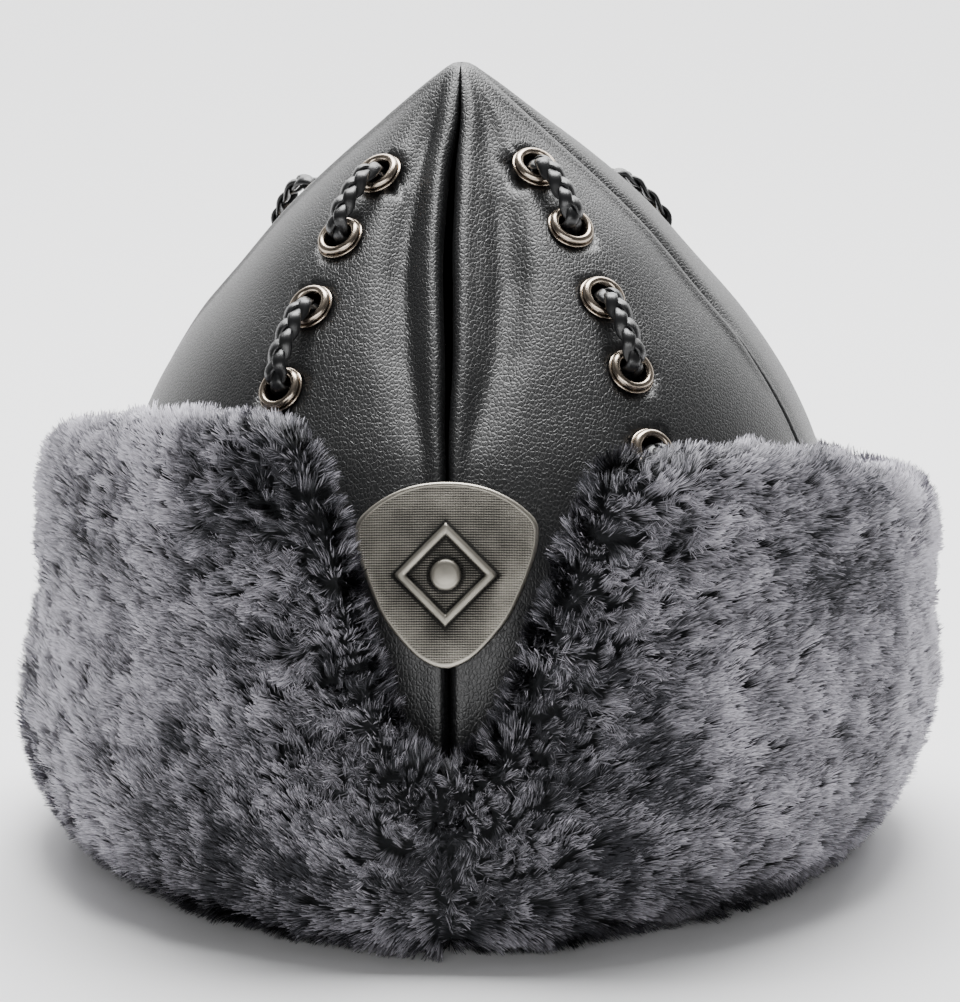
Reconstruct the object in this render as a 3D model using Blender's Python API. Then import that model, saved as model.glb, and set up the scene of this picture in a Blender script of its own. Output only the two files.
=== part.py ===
"""A pointed leather cap with laced panels and a turned-up fur cuff, at its real size in metres.

The cap stands on its cuff. The front faces -Y, the wearer's left is +X and up is +Z. Angles go
round the cap from the middle of the front, positive towards +X. Depths go down the crown's own
middle line from its point.
"""

import math
import random

import bmesh
import bpy
from mathutils import Matrix, Vector

# Driving sizes
HEIGHT = 0.187
HEAD_WIDTH = 0.170
HEAD_LENGTH = 0.198
CUFF_WIDTH = 0.218
CUFF_LENGTH = 0.242
LEATHER = 0.002
GAP = 0.0003
SHARP_ANGLE = 50.0
CUFF_SOLE = 0.0047
CROWN_FOOT = CUFF_SOLE + GAP
CROWN_DEPTH = HEIGHT - CROWN_FOOT

# The point leans forwards and a little to the wearer's right, and each lean dies out further down
LEAN_FORWARD = 0.006
LEAN_DEPTH = 0.110
LEAN_SIDE = -0.0035
LEAN_SIDE_DEPTH = 0.160

# Near the point the lining side keeps at least this share of the outer radius, and this much lower
POINT_RADIUS = 0.008
POINT_SHARE = 0.6
POINT_DROP = 0.0004

# Crown sections: depth, share of the head width, length over width, swell of the panels
CROWN_ROWS = (
    (0.000, 0.010, 1.00, 0.00),
    (0.006, 0.112, 1.00, 0.02),
    (0.014, 0.218, 1.01, 0.05),
    (0.024, 0.352, 1.03, 0.07),
    (0.036, 0.499, 1.05, 0.07),
    (0.050, 0.641, 1.07, 0.05),
    (0.064, 0.780, 1.09, 0.03),
    (0.080, 0.897, 1.11, 0.01),
    (0.098, 0.976, 1.13, 0.00),
    (0.125, 1.020, 1.15, 0.00),
    (0.155, 1.015, 1.16, 0.00),
    (CROWN_DEPTH, 1.000, 1.165, 0.00),
)
# Places across a panel, closer together at its two seams
PANEL_COLUMNS = (0.0, 0.022, 0.050, 0.090, 0.150, 0.25, 0.37, 0.50, 0.64, 0.78, 0.89, 0.955, 1.0)
MESH_DEPTHS = (0.0, 0.006, 0.014, 0.024, 0.036, 0.050, 0.064, 0.080, 0.098, 0.118, 0.145, CROWN_DEPTH)
SEAM_GAP = 0.0004
SEAM_DEPTH = 0.0022
SEAM_WIDTH = 0.0026
SEAM_START = 0.014

# The front seam: a slit between two rolled lips, with a soft pleat outside each lip
LIP_HEIGHT = 0.0006
LIP_PLACE = 0.0034
LIP_WIDTH = 0.0020
PLEAT_DEPTH = 0.0018
PLEAT_PLACE = 0.0090
PLEAT_WIDTH = 0.0048
PLEAT_END = 0.115

# Panels: name, start angle, end angle
PANELS = (
    ("crown_front_right", 0.0, 77.0),
    ("crown_back_right", 77.0, 180.0),
    ("crown_back_left", -180.0, -96.0),
    ("crown_front_left", -96.0, 0.0),
)

# Laced rows: name, panel, angle at the first depth, angle at the last depth, eyelet depths
LACED_ROWS = (
    ("front_right", "crown_front_right", 40.5, 35.0, (0.0200, 0.0316, 0.0455, 0.0606, 0.0776, 0.0935)),
    ("front_left", "crown_front_left", -40.2, -31.5, (0.0215, 0.0340, 0.0478, 0.0650, 0.0820, 0.0975)),
    ("back_right", "crown_back_right", 142.0, 122.0, (0.0390, 0.0540, 0.0700, 0.0860)),
    ("back_left", "crown_back_left", -128.0, -132.0, (0.0390, 0.0540, 0.0700, 0.0860)),
)

# Eyelet profile: radius, height over the leather
HOLE_RADIUS = 0.0044
EYELET_SIDES = 10
EYELET_PROFILE = (
    (0.0034, -0.0037),
    (0.0034, 0.0011),
    (0.0043, 0.0020),
    (0.0054, 0.0014),
    (0.0057, 0.0005),
    (0.0039, 0.0005),
    (0.0039, -0.0034),
    (0.0050, -0.0034),
)

# Braided lacing
LACING_DIAMETER = 0.0044
LACING_STEP = 0.0030
CURVE_STEPS = 12
# Ends tucked behind the leather: distance past the row's first or last eyelet, height
FIRST_TUCK = ((-0.0068, -0.0070), (-0.0032, -0.0068), (0.0, -0.0040), (0.0, -0.0008))
LAST_TUCK = ((0.0, -0.0008), (0.0, -0.0040), (0.0040, -0.0068), (0.0090, -0.0070))
# Stretch outside the leather and stretch behind it: share of the way to the next eyelet, height
OUTER_STRETCH = ((0.00, 0.0020), (0.10, 0.0040), (0.27, 0.0049), (0.50, 0.0051), (0.73, 0.0049),
                 (0.90, 0.0040), (1.00, 0.0020), (1.00, -0.0008))
INNER_STRETCH = ((0.00, -0.0038), (0.12, -0.0064), (0.35, -0.0072), (0.65, -0.0072),
                 (0.88, -0.0064), (1.00, -0.0038), (1.00, -0.0008))

# Fur cuff: angle, rim height left and right, rise of the lower outer edge left and right
RIM_ROWS = (
    (0.0, 0.045, 0.045, 0.0000, 0.0000),
    (3.0, 0.049, 0.048, 0.0000, 0.0000),
    (5.5, 0.055, 0.054, 0.0005, 0.0005),
    (8.2, 0.066, 0.066, 0.0010, 0.0010),
    (11.0, 0.080, 0.080, 0.0010, 0.0015),
    (14.5, 0.100, 0.098, 0.0015, 0.0020),
    (19.0, 0.116, 0.112, 0.0030, 0.0055),
    (25.0, 0.120, 0.113, 0.0045, 0.0090),
    (35.0, 0.119, 0.113, 0.0070, 0.0130),
    (50.0, 0.115, 0.109, 0.0105, 0.0170),
    (70.0, 0.106, 0.098, 0.0120, 0.0180),
    (90.0, 0.097, 0.090, 0.0125, 0.0160),
    (115.0, 0.090, 0.083, 0.0110, 0.0120),
    (145.0, 0.084, 0.081, 0.0090, 0.0095),
    (180.0, 0.082, 0.082, 0.0080, 0.0080),
)
# The cuff's outer face leans to the wearer's left: sideways per unit of height over the waist
CUFF_LEAN = 0.055
CUFF_WAIST = 0.040
# Cuff section: share of the way from the crown's foot to the outer face, base height, share of
# the rim height added, share of the edge's rise added, share of the lock relief
CUFF_SECTION = (
    (-0.12, 0.0000, 0.00, 0.0, 0.0),
    (-0.12, CUFF_SOLE, 0.00, 0.0, 0.0),
    (0.05, CUFF_SOLE, 0.00, 0.0, 0.0),
    (0.13, 0.0110, 0.00, 0.0, 0.0),
    (0.26, -0.0020, 0.45, 0.0, 0.0),
    (0.36, -0.0080, 0.92, 0.0, 0.0),
    (0.43, -0.0012, 1.00, 0.0, 0.3),
    (0.58, 0.0000, 1.00, 0.0, 0.6),
    (0.78, -0.0030, 1.00, 0.0, 0.8),
    (0.90, -0.0100, 1.00, 0.0, 1.0),
    (0.94, -0.0080, 0.88, 0.0, 1.0),
    (0.94, -0.0010, 0.68, 0.2, 1.0),
    (0.97, 0.0030, 0.46, 0.5, 1.0),
    (1.02, 0.0060, 0.24, 0.8, 1.0),
    (1.00, 0.0050, 0.06, 1.0, 1.0),
    (0.84, 0.0010, 0.00, 0.6, 0.4),
    (0.58, 0.0000, 0.00, 0.0, 0.0),
)
NOTCH_SIDE = 25.0
CUFF_SIDES = 24
FULL_LOCK_RIM = 0.0935
LOCK_HEIGHT = 0.0022
LOCK_NOISE = 0.0006
LOCK_DROOP = 0.0022
LOCKS_SEED = 7

# Badge on the front seam
BADGE_HEIGHT = 0.0416
BADGE_THICKNESS = 0.0028
BADGE_DEPTH = 0.103
BADGE_CURVE = 0.074
# Half the angle that the badge covers on the crown, and how many places are checked each way
BADGE_REACH = 13.5
BADGE_CHECKS = 8
# Right half of the badge's outline from its top to its foot: across and up, as shares of its height
BADGE_OUTLINE = (
    (0.000, 0.500), (0.128, 0.482), (0.254, 0.440), (0.375, 0.385), (0.450, 0.320), (0.479, 0.240),
    (0.472, 0.120), (0.438, 0.000), (0.345, -0.215), (0.234, -0.375), (0.122, -0.470),
    (0.000, -0.500),
)
BADGE_FIELD = BADGE_THICKNESS * 0.72
# Rings from the middle of the back to the middle of the front: shape, size, height
BADGE_RINGS = (
    ("outline", 0.35, 0.0),
    ("outline", 0.70, 0.0),
    ("outline", 1.00, 0.0),
    ("outline", 1.00, BADGE_THICKNESS * 0.7),
    ("outline", 0.97, BADGE_THICKNESS),
    ("outline", 0.915, BADGE_THICKNESS),
    ("outline", 0.885, BADGE_FIELD),
    ("lozenge", 0.0115, BADGE_FIELD),
    ("lozenge", 0.0112, BADGE_THICKNESS),
    ("lozenge", 0.0094, BADGE_THICKNESS),
    ("lozenge", 0.0091, BADGE_FIELD),
    ("circle", 0.0034, BADGE_FIELD),
    ("circle", 0.0028, BADGE_THICKNESS),
)

# Finishes: name, colour, roughness, metallic
BLACK_LEATHER = ("black_leather", (0.012, 0.012, 0.013), 0.50, 0.0)
BRAIDED_LEATHER = ("braided_leather", (0.008, 0.008, 0.009), 0.42, 0.0)
GREY_FUR = ("grey_fur", (0.130, 0.128, 0.140), 0.90, 0.0)
NICKEL = ("nickel", (0.560, 0.520, 0.470), 0.28, 1.0)
OLD_NICKEL = ("old_nickel", (0.240, 0.235, 0.215), 0.42, 1.0)


def clear_scene():
    for item in list(bpy.data.objects):
        bpy.data.objects.remove(item, do_unlink=True)


def make_material(finish):
    name, colour, roughness, metallic = finish
    material = bpy.data.materials.get(name)
    if material is None:
        material = bpy.data.materials.new(name)
        material.use_nodes = True
        shader = material.node_tree.nodes["Principled BSDF"]
        shader.inputs["Base Color"].default_value = (*colour, 1.0)
        shader.inputs["Roughness"].default_value = roughness
        shader.inputs["Metallic"].default_value = metallic
    return material


def add_object(name, mesh_builder, finish):
    """Turns a bmesh into a named object with its finish."""
    mesh = bpy.data.meshes.new(name)
    mesh_builder.to_mesh(mesh)
    mesh_builder.free()
    mesh.shade_smooth()
    mesh.set_sharp_from_angle(angle=math.radians(SHARP_ANGLE))
    item = bpy.data.objects.new(name, mesh)
    bpy.context.scene.collection.objects.link(item)
    mesh.materials.append(make_material(finish))
    return item


def smooth_value(rows, place, column):
    """Value of a table's column at a place along its first column, on a curve through the rows."""
    last = len(rows) - 2
    index = 0
    while index < last and place > rows[index + 1][0]:
        index += 1
    start, end = rows[index], rows[index + 1]
    span = end[0] - start[0]
    share = min(max((place - start[0]) / span, 0.0), 1.0)

    def slope(at):
        low, high = max(at - 1, 0), min(at + 1, len(rows) - 1)
        return (rows[high][column] - rows[low][column]) / (rows[high][0] - rows[low][0])

    a, b = start[column], end[column]
    m0, m1 = slope(index) * span, slope(index + 1) * span
    square, cube = share**2, share**3
    return (a * (2 * cube - 3 * square + 1) + m0 * (cube - 2 * square + share)
            + b * (3 * square - 2 * cube) + m1 * (cube - square))


def hill(distance, place, width):
    return math.exp(-(((distance - place) / width) ** 2))


def seam_relief(distance, depth, front):
    """How far the leather stands out beside a seam."""
    start = min(depth / SEAM_START, 1.0)
    relief = -SEAM_DEPTH * hill(distance, 0.0, SEAM_WIDTH)
    if front:
        fade = math.sin(math.pi * min(depth / PLEAT_END, 1.0) ** 0.7)
        relief += LIP_HEIGHT * hill(distance, LIP_PLACE, LIP_WIDTH)
        relief -= PLEAT_DEPTH * fade * hill(distance, PLEAT_PLACE, PLEAT_WIDTH)
    return relief * start


def lean_shift(depth):
    """How far the leans carry the middle of the crown's section at a depth."""
    forward = max(1.0 - depth / LEAN_DEPTH, 0.0)
    side = max(1.0 - depth / LEAN_SIDE_DEPTH, 0.0)
    return Vector((LEAN_SIDE * side**2, -LEAN_FORWARD * forward**2))


def crown_point(angle, depth):
    """A point on the outside of the crown."""
    turn = math.radians(angle)
    half_width = HEAD_WIDTH / 2 * smooth_value(CROWN_ROWS, depth, 1)
    half_length = half_width * smooth_value(CROWN_ROWS, depth, 2)
    swell = 1.0 + smooth_value(CROWN_ROWS, depth, 3) * math.sin(2 * turn) ** 2
    x = half_width * swell * math.sin(turn)
    y = -half_length * swell * math.cos(turn)
    radius = math.hypot(x, y)
    from_seam = min(abs(angle - seam) for _, seam, _ in PANELS + (("back", 180.0, 0.0),))
    relief = seam_relief(math.radians(from_seam) * radius, depth, from_seam == abs(angle))
    grow = 1.0 + relief / max(radius, SEAM_START)
    left_over = max(1.0 - depth / LEAN_DEPTH, 0.0)
    tilt = math.atan(2 * LEAN_FORWARD / LEAN_DEPTH * left_over)
    middle = lean_shift(depth)
    return Vector((
        middle.x + x * grow,
        middle.y + y * grow * math.cos(tilt),
        HEIGHT - depth + y * grow * math.sin(tilt),
    ))


def crown_frame(angle, depth):
    """A point on the crown, with the ways down the row, across it and out of the leather."""
    step_angle, step_depth = 0.5, 0.0004
    point = crown_point(angle, depth)
    above = crown_point(angle, max(depth - step_depth, 0.0))
    down = (crown_point(angle, depth + step_depth) - above).normalized()
    across = crown_point(angle + step_angle, depth) - crown_point(angle - step_angle, depth)
    outward = down.cross(across).normalized()
    return point, down, outward.cross(down), outward


def panel_angle(start, end, share, depth):
    """Angle at a share of the way across a panel, leaving half the seam's gap at each edge."""
    radius = max(HEAD_WIDTH / 2 * smooth_value(CROWN_ROWS, depth, 1), 0.0005)
    edge = math.degrees(SEAM_GAP / 2 / radius)
    return start + edge + (end - start - 2 * edge) * share


def inner_point(angle, depth):
    """The point of the lining side straight behind an outer point, kept off the middle line."""
    point, _, _, outward = crown_frame(angle, depth)
    centre = lean_shift(depth)
    behind = point - LEATHER * outward
    reach = point.xy - centre
    if reach.length < POINT_RADIUS:
        kept = max((behind.xy - centre).length, POINT_SHARE * reach.length)
        behind = Vector((*(centre + reach.normalized() * kept), behind.z - POINT_DROP))
    return behind


def spread(values, share):
    """Reads a list of values at a share of its length."""
    place = share * (len(values) - 1)
    index = min(int(place + 1e-6), len(values) - 2)
    rest = place - index
    return values[index] * (1 - rest) + values[index + 1] * rest


def make_panel(name, start, end):
    """One leather panel of the crown: an outer and an inner grid joined round their edges."""
    builder = bmesh.new()
    borders = []
    for place in (crown_point, inner_point):
        grid = bmesh.ops.create_grid(
            builder, x_segments=len(PANEL_COLUMNS) - 1, y_segments=len(MESH_DEPTHS) - 1, size=0.5)
        for vert in grid["verts"]:
            depth = spread(MESH_DEPTHS, vert.co.y + 0.5)
            share = spread(PANEL_COLUMNS, vert.co.x + 0.5)
            vert.co = place(panel_angle(start, end, share, depth), depth)
        faces = {face for vert in grid["verts"] for face in vert.link_faces}
        borders += [edge for edge in {e for f in faces for e in f.edges} if edge.is_boundary]
    bmesh.ops.bridge_loops(builder, edges=borders)
    bmesh.ops.recalc_face_normals(builder, faces=builder.faces)
    return add_object(name, builder, BLACK_LEATHER)


def row_angle(row, depth):
    _, _, first_angle, last_angle, depths = row
    share = (depth - depths[0]) / (depths[-1] - depths[0])
    return first_angle + (last_angle - first_angle) * min(max(share, -0.5), 1.5)


def row_point(row, depth, height):
    """A point over a laced row at a depth, this high over the leather."""
    point, _, _, outward = crown_frame(row_angle(row, depth), depth)
    return point + height * outward


def eyelet_matrix(row, depth):
    point, down, across, outward = crown_frame(row_angle(row, depth), depth)
    return Matrix.Translation(point) @ Matrix((down, across, outward)).transposed().to_4x4()


def make_eyelet(name, matrix):
    """A rolled metal eyelet, turned from its profile and set through the leather."""
    builder = bmesh.new()
    verts = [builder.verts.new((radius, 0.0, height)) for radius, height in EYELET_PROFILE]
    edges = [builder.edges.new((a, b)) for a, b in zip(verts, verts[1:] + verts[:1])]
    bmesh.ops.spin(
        builder, geom=verts + edges, axis=(0, 0, 1), cent=(0, 0, 0), dvec=(0, 0, 0),
        angle=2 * math.pi, steps=EYELET_SIDES, use_merge=True)
    bmesh.ops.recalc_face_normals(builder, faces=builder.faces)
    bmesh.ops.transform(builder, matrix=matrix, verts=builder.verts)
    return add_object(name, builder, NICKEL)


def make_hole_cutter(name, matrices):
    """Round punches for one panel's eyelets."""
    builder = bmesh.new()
    for matrix in matrices:
        bmesh.ops.create_cone(
            builder, cap_ends=True, segments=EYELET_SIDES, radius1=HOLE_RADIUS, radius2=HOLE_RADIUS,
            depth=8 * LEATHER, matrix=matrix)
    cutter = add_object(name, builder, BLACK_LEATHER)
    cutter.hide_render = True
    cutter.display_type = "WIRE"
    return cutter


def curve_points(points, step):
    """Points this far apart along a smooth curve through the route's own points."""
    fine = []
    for i in range(len(points) - 1):
        before = points[max(i - 1, 0)]
        after = points[min(i + 2, len(points) - 1)]
        a, b = points[i], points[i + 1]
        for n in range(CURVE_STEPS):
            t = n / CURVE_STEPS
            fine.append(0.5 * (2 * a + (b - before) * t + (2 * before - 5 * a + 4 * b - after) * t**2
                               + (3 * a - before - 3 * b + after) * t**3))
    fine.append(points[-1])
    length = sum((b - a).length for a, b in zip(fine, fine[1:]))
    count = max(round(length / step), 2)
    spaced, walked, wanted = [fine[0]], 0.0, length / count
    for a, b in zip(fine, fine[1:]):
        stretch = (b - a).length
        while wanted <= walked + stretch + 1e-9 and len(spaced) < count:
            spaced.append(a.lerp(b, (wanted - walked) / stretch))
            wanted = length / count * (len(spaced))
        walked += stretch
    return spaced + [fine[-1]]


def lacing_route(row):
    """In and out of the eyelets, with both ends tucked behind the leather."""
    depths = row[4]
    route = [row_point(row, depths[0] + past, height) for past, height in FIRST_TUCK]
    for index, (here, after) in enumerate(zip(depths, depths[1:])):
        stretch = OUTER_STRETCH if index % 2 == 0 else INNER_STRETCH
        route += [row_point(row, here + (after - here) * share, height) for share, height in stretch]
    route += [row_point(row, depths[-1] + past, height) for past, height in LAST_TUCK]
    return route


def make_lacing(row):
    points = curve_points(lacing_route(row), LACING_STEP)
    curve = bpy.data.curves.new("lacing_" + row[0], "CURVE")
    curve.dimensions = "3D"
    curve.bevel_depth = LACING_DIAMETER / 2
    curve.bevel_resolution = 2
    curve.use_fill_caps = True
    spline = curve.splines.new("POLY")
    spline.points.add(len(points) - 1)
    for spline_point, place in zip(spline.points, points):
        spline_point.co = (*place, 1.0)
    item = bpy.data.objects.new("lacing_" + row[0], curve)
    bpy.context.scene.collection.objects.link(item)
    curve.materials.append(make_material(BRAIDED_LEATHER))
    return item


def cuff_angles():
    """Angles round the cuff: close together at the notch, wider round the sides and the back."""
    notch = [row[0] for row in RIM_ROWS if row[0] <= NOTCH_SIDE]
    step = (180.0 - NOTCH_SIDE) / CUFF_SIDES
    half = notch + [NOTCH_SIDE + step * (i + 1) for i in range(CUFF_SIDES)]
    return [-angle for angle in reversed(half[1:-1])] + half


def cuff_point(angle, section, lift):
    """A point of the cuff's section at an angle, lifted outwards by a lock of fur."""
    share, base, rim_share, rise_share, _ = section
    right_side = 1 if angle > 0 else 0
    rim = smooth_value(RIM_ROWS, abs(angle), 1 + right_side)
    rise = smooth_value(RIM_ROWS, abs(angle), 3 + right_side)
    height = max(base + rim_share * rim + rise_share * rise, 0.0)
    turn = math.radians(angle)
    foot = Vector((HEAD_WIDTH / 2 * math.sin(turn), -HEAD_LENGTH / 2 * math.cos(turn), height))
    face = Vector((CUFF_WIDTH / 2 * math.sin(turn), -CUFF_LENGTH / 2 * math.cos(turn), height))
    outward = Vector((face.x, face.y, 0.0)).normalized()
    if rim_share > 0.0:
        face.x += CUFF_LEAN * (height - CUFF_WAIST)
    return foot.lerp(face, share) + outward * lift


def make_cuff():
    """The turned-up fur cuff: its section carried round the head, with locks on its outer face."""
    chance = random.Random(LOCKS_SEED)
    builder = bmesh.new()
    angles = cuff_angles()
    rings = []
    for column, angle in enumerate(angles):
        ring = []
        for row, section in enumerate(CUFF_SECTION):
            tip = (column + row) % 2 == 0
            noise = LOCK_NOISE * (chance.random() - 1.0)
            room = min(smooth_value(RIM_ROWS, abs(angle), 1) / FULL_LOCK_RIM, 1.0) * section[4]
            lift = room * (noise if tip else noise - LOCK_HEIGHT)
            place = cuff_point(angle, section, lift)
            if tip and section[4] == 1.0:
                place.z -= LOCK_DROOP * room
            ring.append(builder.verts.new(place))
        loop = [builder.edges.new((a, b)) for a, b in zip(ring, ring[1:] + ring[:1])]
        rings.append(loop)
    for first, second in zip(rings, rings[1:] + rings[:1]):
        bmesh.ops.bridge_loops(builder, edges=first + second)
    bmesh.ops.recalc_face_normals(builder, faces=builder.faces)
    xs = [vert.co.x for vert in builder.verts]
    ys = [vert.co.y for vert in builder.verts]
    middle = Vector(((max(xs) + min(xs)) / 2, (max(ys) + min(ys)) / 2, 0.0))
    bmesh.ops.translate(builder, verts=builder.verts, vec=-middle)
    return add_object("fur_cuff", builder, GREY_FUR)


def bend_drop(across):
    """How far the badge's curve falls away from its middle."""
    return BADGE_CURVE - math.sqrt(BADGE_CURVE**2 - across**2)


def badge_matrix():
    """Where the badge's back lies: over the front seam, clear of the highest leather behind it."""
    top = crown_point(0.0, BADGE_DEPTH - BADGE_HEIGHT / 2)
    foot = crown_point(0.0, BADGE_DEPTH + BADGE_HEIGHT / 2)
    up = (top - foot).normalized()
    outward = Vector((0.0, -up.z, up.y))
    side = up.cross(outward)
    turned = Matrix((side, up, outward)).transposed().to_4x4()
    flat = Matrix.Translation(crown_point(0.0, BADGE_DEPTH)) @ turned
    back = flat.inverted()
    stand = 0.0
    for step in range(-BADGE_CHECKS, BADGE_CHECKS + 1):
        for level in range(-BADGE_CHECKS, BADGE_CHECKS + 1):
            angle = BADGE_REACH * step / BADGE_CHECKS
            depth = BADGE_DEPTH + BADGE_HEIGHT / 2 * level / BADGE_CHECKS
            place = back @ crown_point(angle, depth)
            stand = max(stand, place.z + bend_drop(place.x))
    return flat @ Matrix.Translation((0.0, 0.0, stand + GAP))


def badge_ring(builder, shape, size, height):
    """One ring of the badge as a loop of edges: its outline scaled, a lozenge or a circle."""
    left = [(-across, up) for across, up in reversed(BADGE_OUTLINE[1:-1])]
    verts = []
    for across, up in list(BADGE_OUTLINE) + left:
        scale = size * BADGE_HEIGHT
        if shape == "lozenge":
            scale = size / (abs(across) + abs(up))
        if shape == "circle":
            scale = size / math.hypot(across, up)
        place = Vector((across * scale, up * scale, height))
        place.z -= bend_drop(place.x)
        verts.append(builder.verts.new(place))
    return [builder.edges.new((a, b)) for a, b in zip(verts, verts[1:] + verts[:1])]


def make_badge():
    """A cast badge curved round the front of the crown, with a raised rim, lozenge and boss."""
    builder = bmesh.new()
    loops = [badge_ring(builder, *ring) for ring in BADGE_RINGS]
    for first, second in zip(loops, loops[1:]):
        bmesh.ops.bridge_loops(builder, edges=first + second)
    for loop in (loops[0], loops[-1]):
        bmesh.ops.contextual_create(builder, geom=loop)
    bmesh.ops.triangulate(builder, faces=builder.faces)
    bmesh.ops.recalc_face_normals(builder, faces=builder.faces)
    bmesh.ops.transform(builder, matrix=badge_matrix(), verts=builder.verts)
    return add_object("badge", builder, OLD_NICKEL)


def main():
    clear_scene()
    cutters = {}
    for row in LACED_ROWS:
        matrices = [eyelet_matrix(row, depth) for depth in row[4]]
        for number, matrix in enumerate(matrices, 1):
            make_eyelet(f"eyelet_{row[0]}_{number}", matrix)
        cutters[row[1]] = make_hole_cutter("punch_" + row[0], matrices)
        make_lacing(row)
    for name, start, end in PANELS:
        panel = make_panel(name, start, end)
        punch = panel.modifiers.new("eyelet holes", "BOOLEAN")
        punch.operation = "DIFFERENCE"
        punch.object = cutters[name]
    make_cuff()
    make_badge()


main()
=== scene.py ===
# %% [markdown]
# # A laced leather cap with a fur cuff
#
# The cap has a pointed crown of four pebbled leather panels. Braided leather runs in and out of
# metal eyelets in four rows, a deep fur cuff is turned up round the foot with a notch at the front,
# and a cast badge sits in the notch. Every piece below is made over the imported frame, in metres,
# with the front towards -Y and the point up.

import math

import bmesh
import bpy
import numpy as np
from mathutils import Matrix, Vector, kdtree


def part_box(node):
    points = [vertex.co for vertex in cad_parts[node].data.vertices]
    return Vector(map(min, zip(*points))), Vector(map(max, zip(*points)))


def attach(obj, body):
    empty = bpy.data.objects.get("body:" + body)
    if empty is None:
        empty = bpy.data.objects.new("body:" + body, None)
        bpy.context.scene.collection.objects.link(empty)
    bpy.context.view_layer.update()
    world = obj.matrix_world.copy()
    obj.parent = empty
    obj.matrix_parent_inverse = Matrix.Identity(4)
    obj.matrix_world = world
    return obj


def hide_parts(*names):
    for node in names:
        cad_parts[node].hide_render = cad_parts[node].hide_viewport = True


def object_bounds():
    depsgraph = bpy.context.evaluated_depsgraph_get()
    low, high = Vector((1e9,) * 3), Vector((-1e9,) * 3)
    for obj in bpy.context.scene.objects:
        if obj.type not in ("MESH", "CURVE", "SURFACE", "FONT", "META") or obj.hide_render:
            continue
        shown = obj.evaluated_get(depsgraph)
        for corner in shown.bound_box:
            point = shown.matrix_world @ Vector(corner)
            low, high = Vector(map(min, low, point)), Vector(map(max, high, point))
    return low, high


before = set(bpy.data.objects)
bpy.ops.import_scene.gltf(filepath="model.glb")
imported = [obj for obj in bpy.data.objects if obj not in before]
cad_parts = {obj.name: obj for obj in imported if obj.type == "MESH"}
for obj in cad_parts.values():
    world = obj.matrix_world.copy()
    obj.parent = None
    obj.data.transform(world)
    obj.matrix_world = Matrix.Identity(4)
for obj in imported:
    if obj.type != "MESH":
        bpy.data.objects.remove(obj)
CAD_BOX = [list(corner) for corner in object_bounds()]
HEIGHT = CAD_BOX[1][2]
MM = 0.001
print(f"frame of {len(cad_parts)} nodes, {HEIGHT / MM:.0f} mm high")

# %% [markdown]
# ## Light, floor and camera
#
# A cap like this is photographed on a white sweep: a wide soft box overhead, a low one in front, and
# white paper behind and below in a dark studio. The white behind gives the leather its pale edges,
# the box overhead gives the crown its sheen, and two faint ones lift the sides. The camera stands a
# little above the cuff, far enough away to keep the point upright, and slightly to the right of the
# middle.

# %% Camera
CAMERA_ELEVATION = math.radians(12.0)
CAMERA_TURN = math.radians(3.7)
CAMERA_DISTANCE = 1.5
CAMERA_AIM = Vector((0.0005, 0.0, 0.081))
SENSOR = 36.0
FOCAL_PIXELS = 6300.0
IMAGE_HEIGHT = 1002.0


def add_object(name, data):
    """A new object of its data, in the scene."""
    thing = bpy.data.objects.new(name, data)
    bpy.context.scene.collection.objects.link(thing)
    return thing


away = Vector((
    math.sin(CAMERA_TURN) * math.cos(CAMERA_ELEVATION),
    -math.cos(CAMERA_TURN) * math.cos(CAMERA_ELEVATION),
    math.sin(CAMERA_ELEVATION),
))
camera = add_object("camera", bpy.data.cameras.new("camera"))
camera.location = CAMERA_AIM + CAMERA_DISTANCE * away
camera.rotation_euler = away.to_track_quat("Z", "Y").to_euler()
camera.data.sensor_fit = "VERTICAL"
camera.data.sensor_height = SENSOR
camera.data.lens = FOCAL_PIXELS / IMAGE_HEIGHT * SENSOR
camera.data.clip_end = 100.0
bpy.context.scene.camera = camera
print(f"camera lens {camera.data.lens:.0f} mm at {CAMERA_DISTANCE} m")

# %% [markdown]
# Materials and the world are node trees. One function adds a node, sets it and links it, and short
# ones built on it add the kinds used most. Another turns a colour picked in sRGB into the linear
# numbers that the shaders want.

# %% Helpers for finishes
WHOLE = (0.0, 1.0)


def linear(hex_colour):
    """Linear RGBA of an sRGB hex colour."""
    parts = [int(hex_colour[i:i + 2], 16) / 255 for i in (1, 3, 5)]
    return (*[c / 12.92 if c <= 0.04045 else ((c + 0.055) / 1.055) ** 2.4 for c in parts], 1.0)


def feed(tree, node, inputs):
    """Sets or links a node's inputs."""
    for name, value in inputs.items():
        if isinstance(value, bpy.types.NodeSocket):
            tree.links.new(value, node.inputs[name])
        else:
            node.inputs[name].default_value = value


def add_node(tree, kind, settings=None, inputs=None):
    """Adds a node, sets its properties, and sets or links its inputs."""
    node = tree.nodes.new("ShaderNode" + kind)
    for name, value in (settings or {}).items():
        setattr(node, name, value)
    feed(tree, node, inputs or {})
    return node


def reckoned(tree, operation, *values, clamp=False):
    """The result of one sum."""
    settings = {"operation": operation, "use_clamp": clamp}
    return add_node(tree, "Math", settings, dict(enumerate(values))).outputs[0]


def ranged(tree, value, start, end, kind="LINEAR"):
    """A value carried from one range to another."""
    return add_node(tree, "MapRange", {"interpolation_type": kind}, {
        "Value": value, "From Min": start[0], "From Max": start[1],
        "To Min": end[0], "To Max": end[1]}).outputs[0]


def new_finish(name):
    """A material with a bare Principled shader, and its tree and shader."""
    material = bpy.data.materials.new(name)
    material.use_nodes = True
    tree = material.node_tree
    tree.nodes.clear()
    shader = add_node(tree, "BsdfPrincipled")
    add_node(tree, "OutputMaterial", inputs={"Surface": shader.outputs[0]})
    return material, tree, shader


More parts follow.
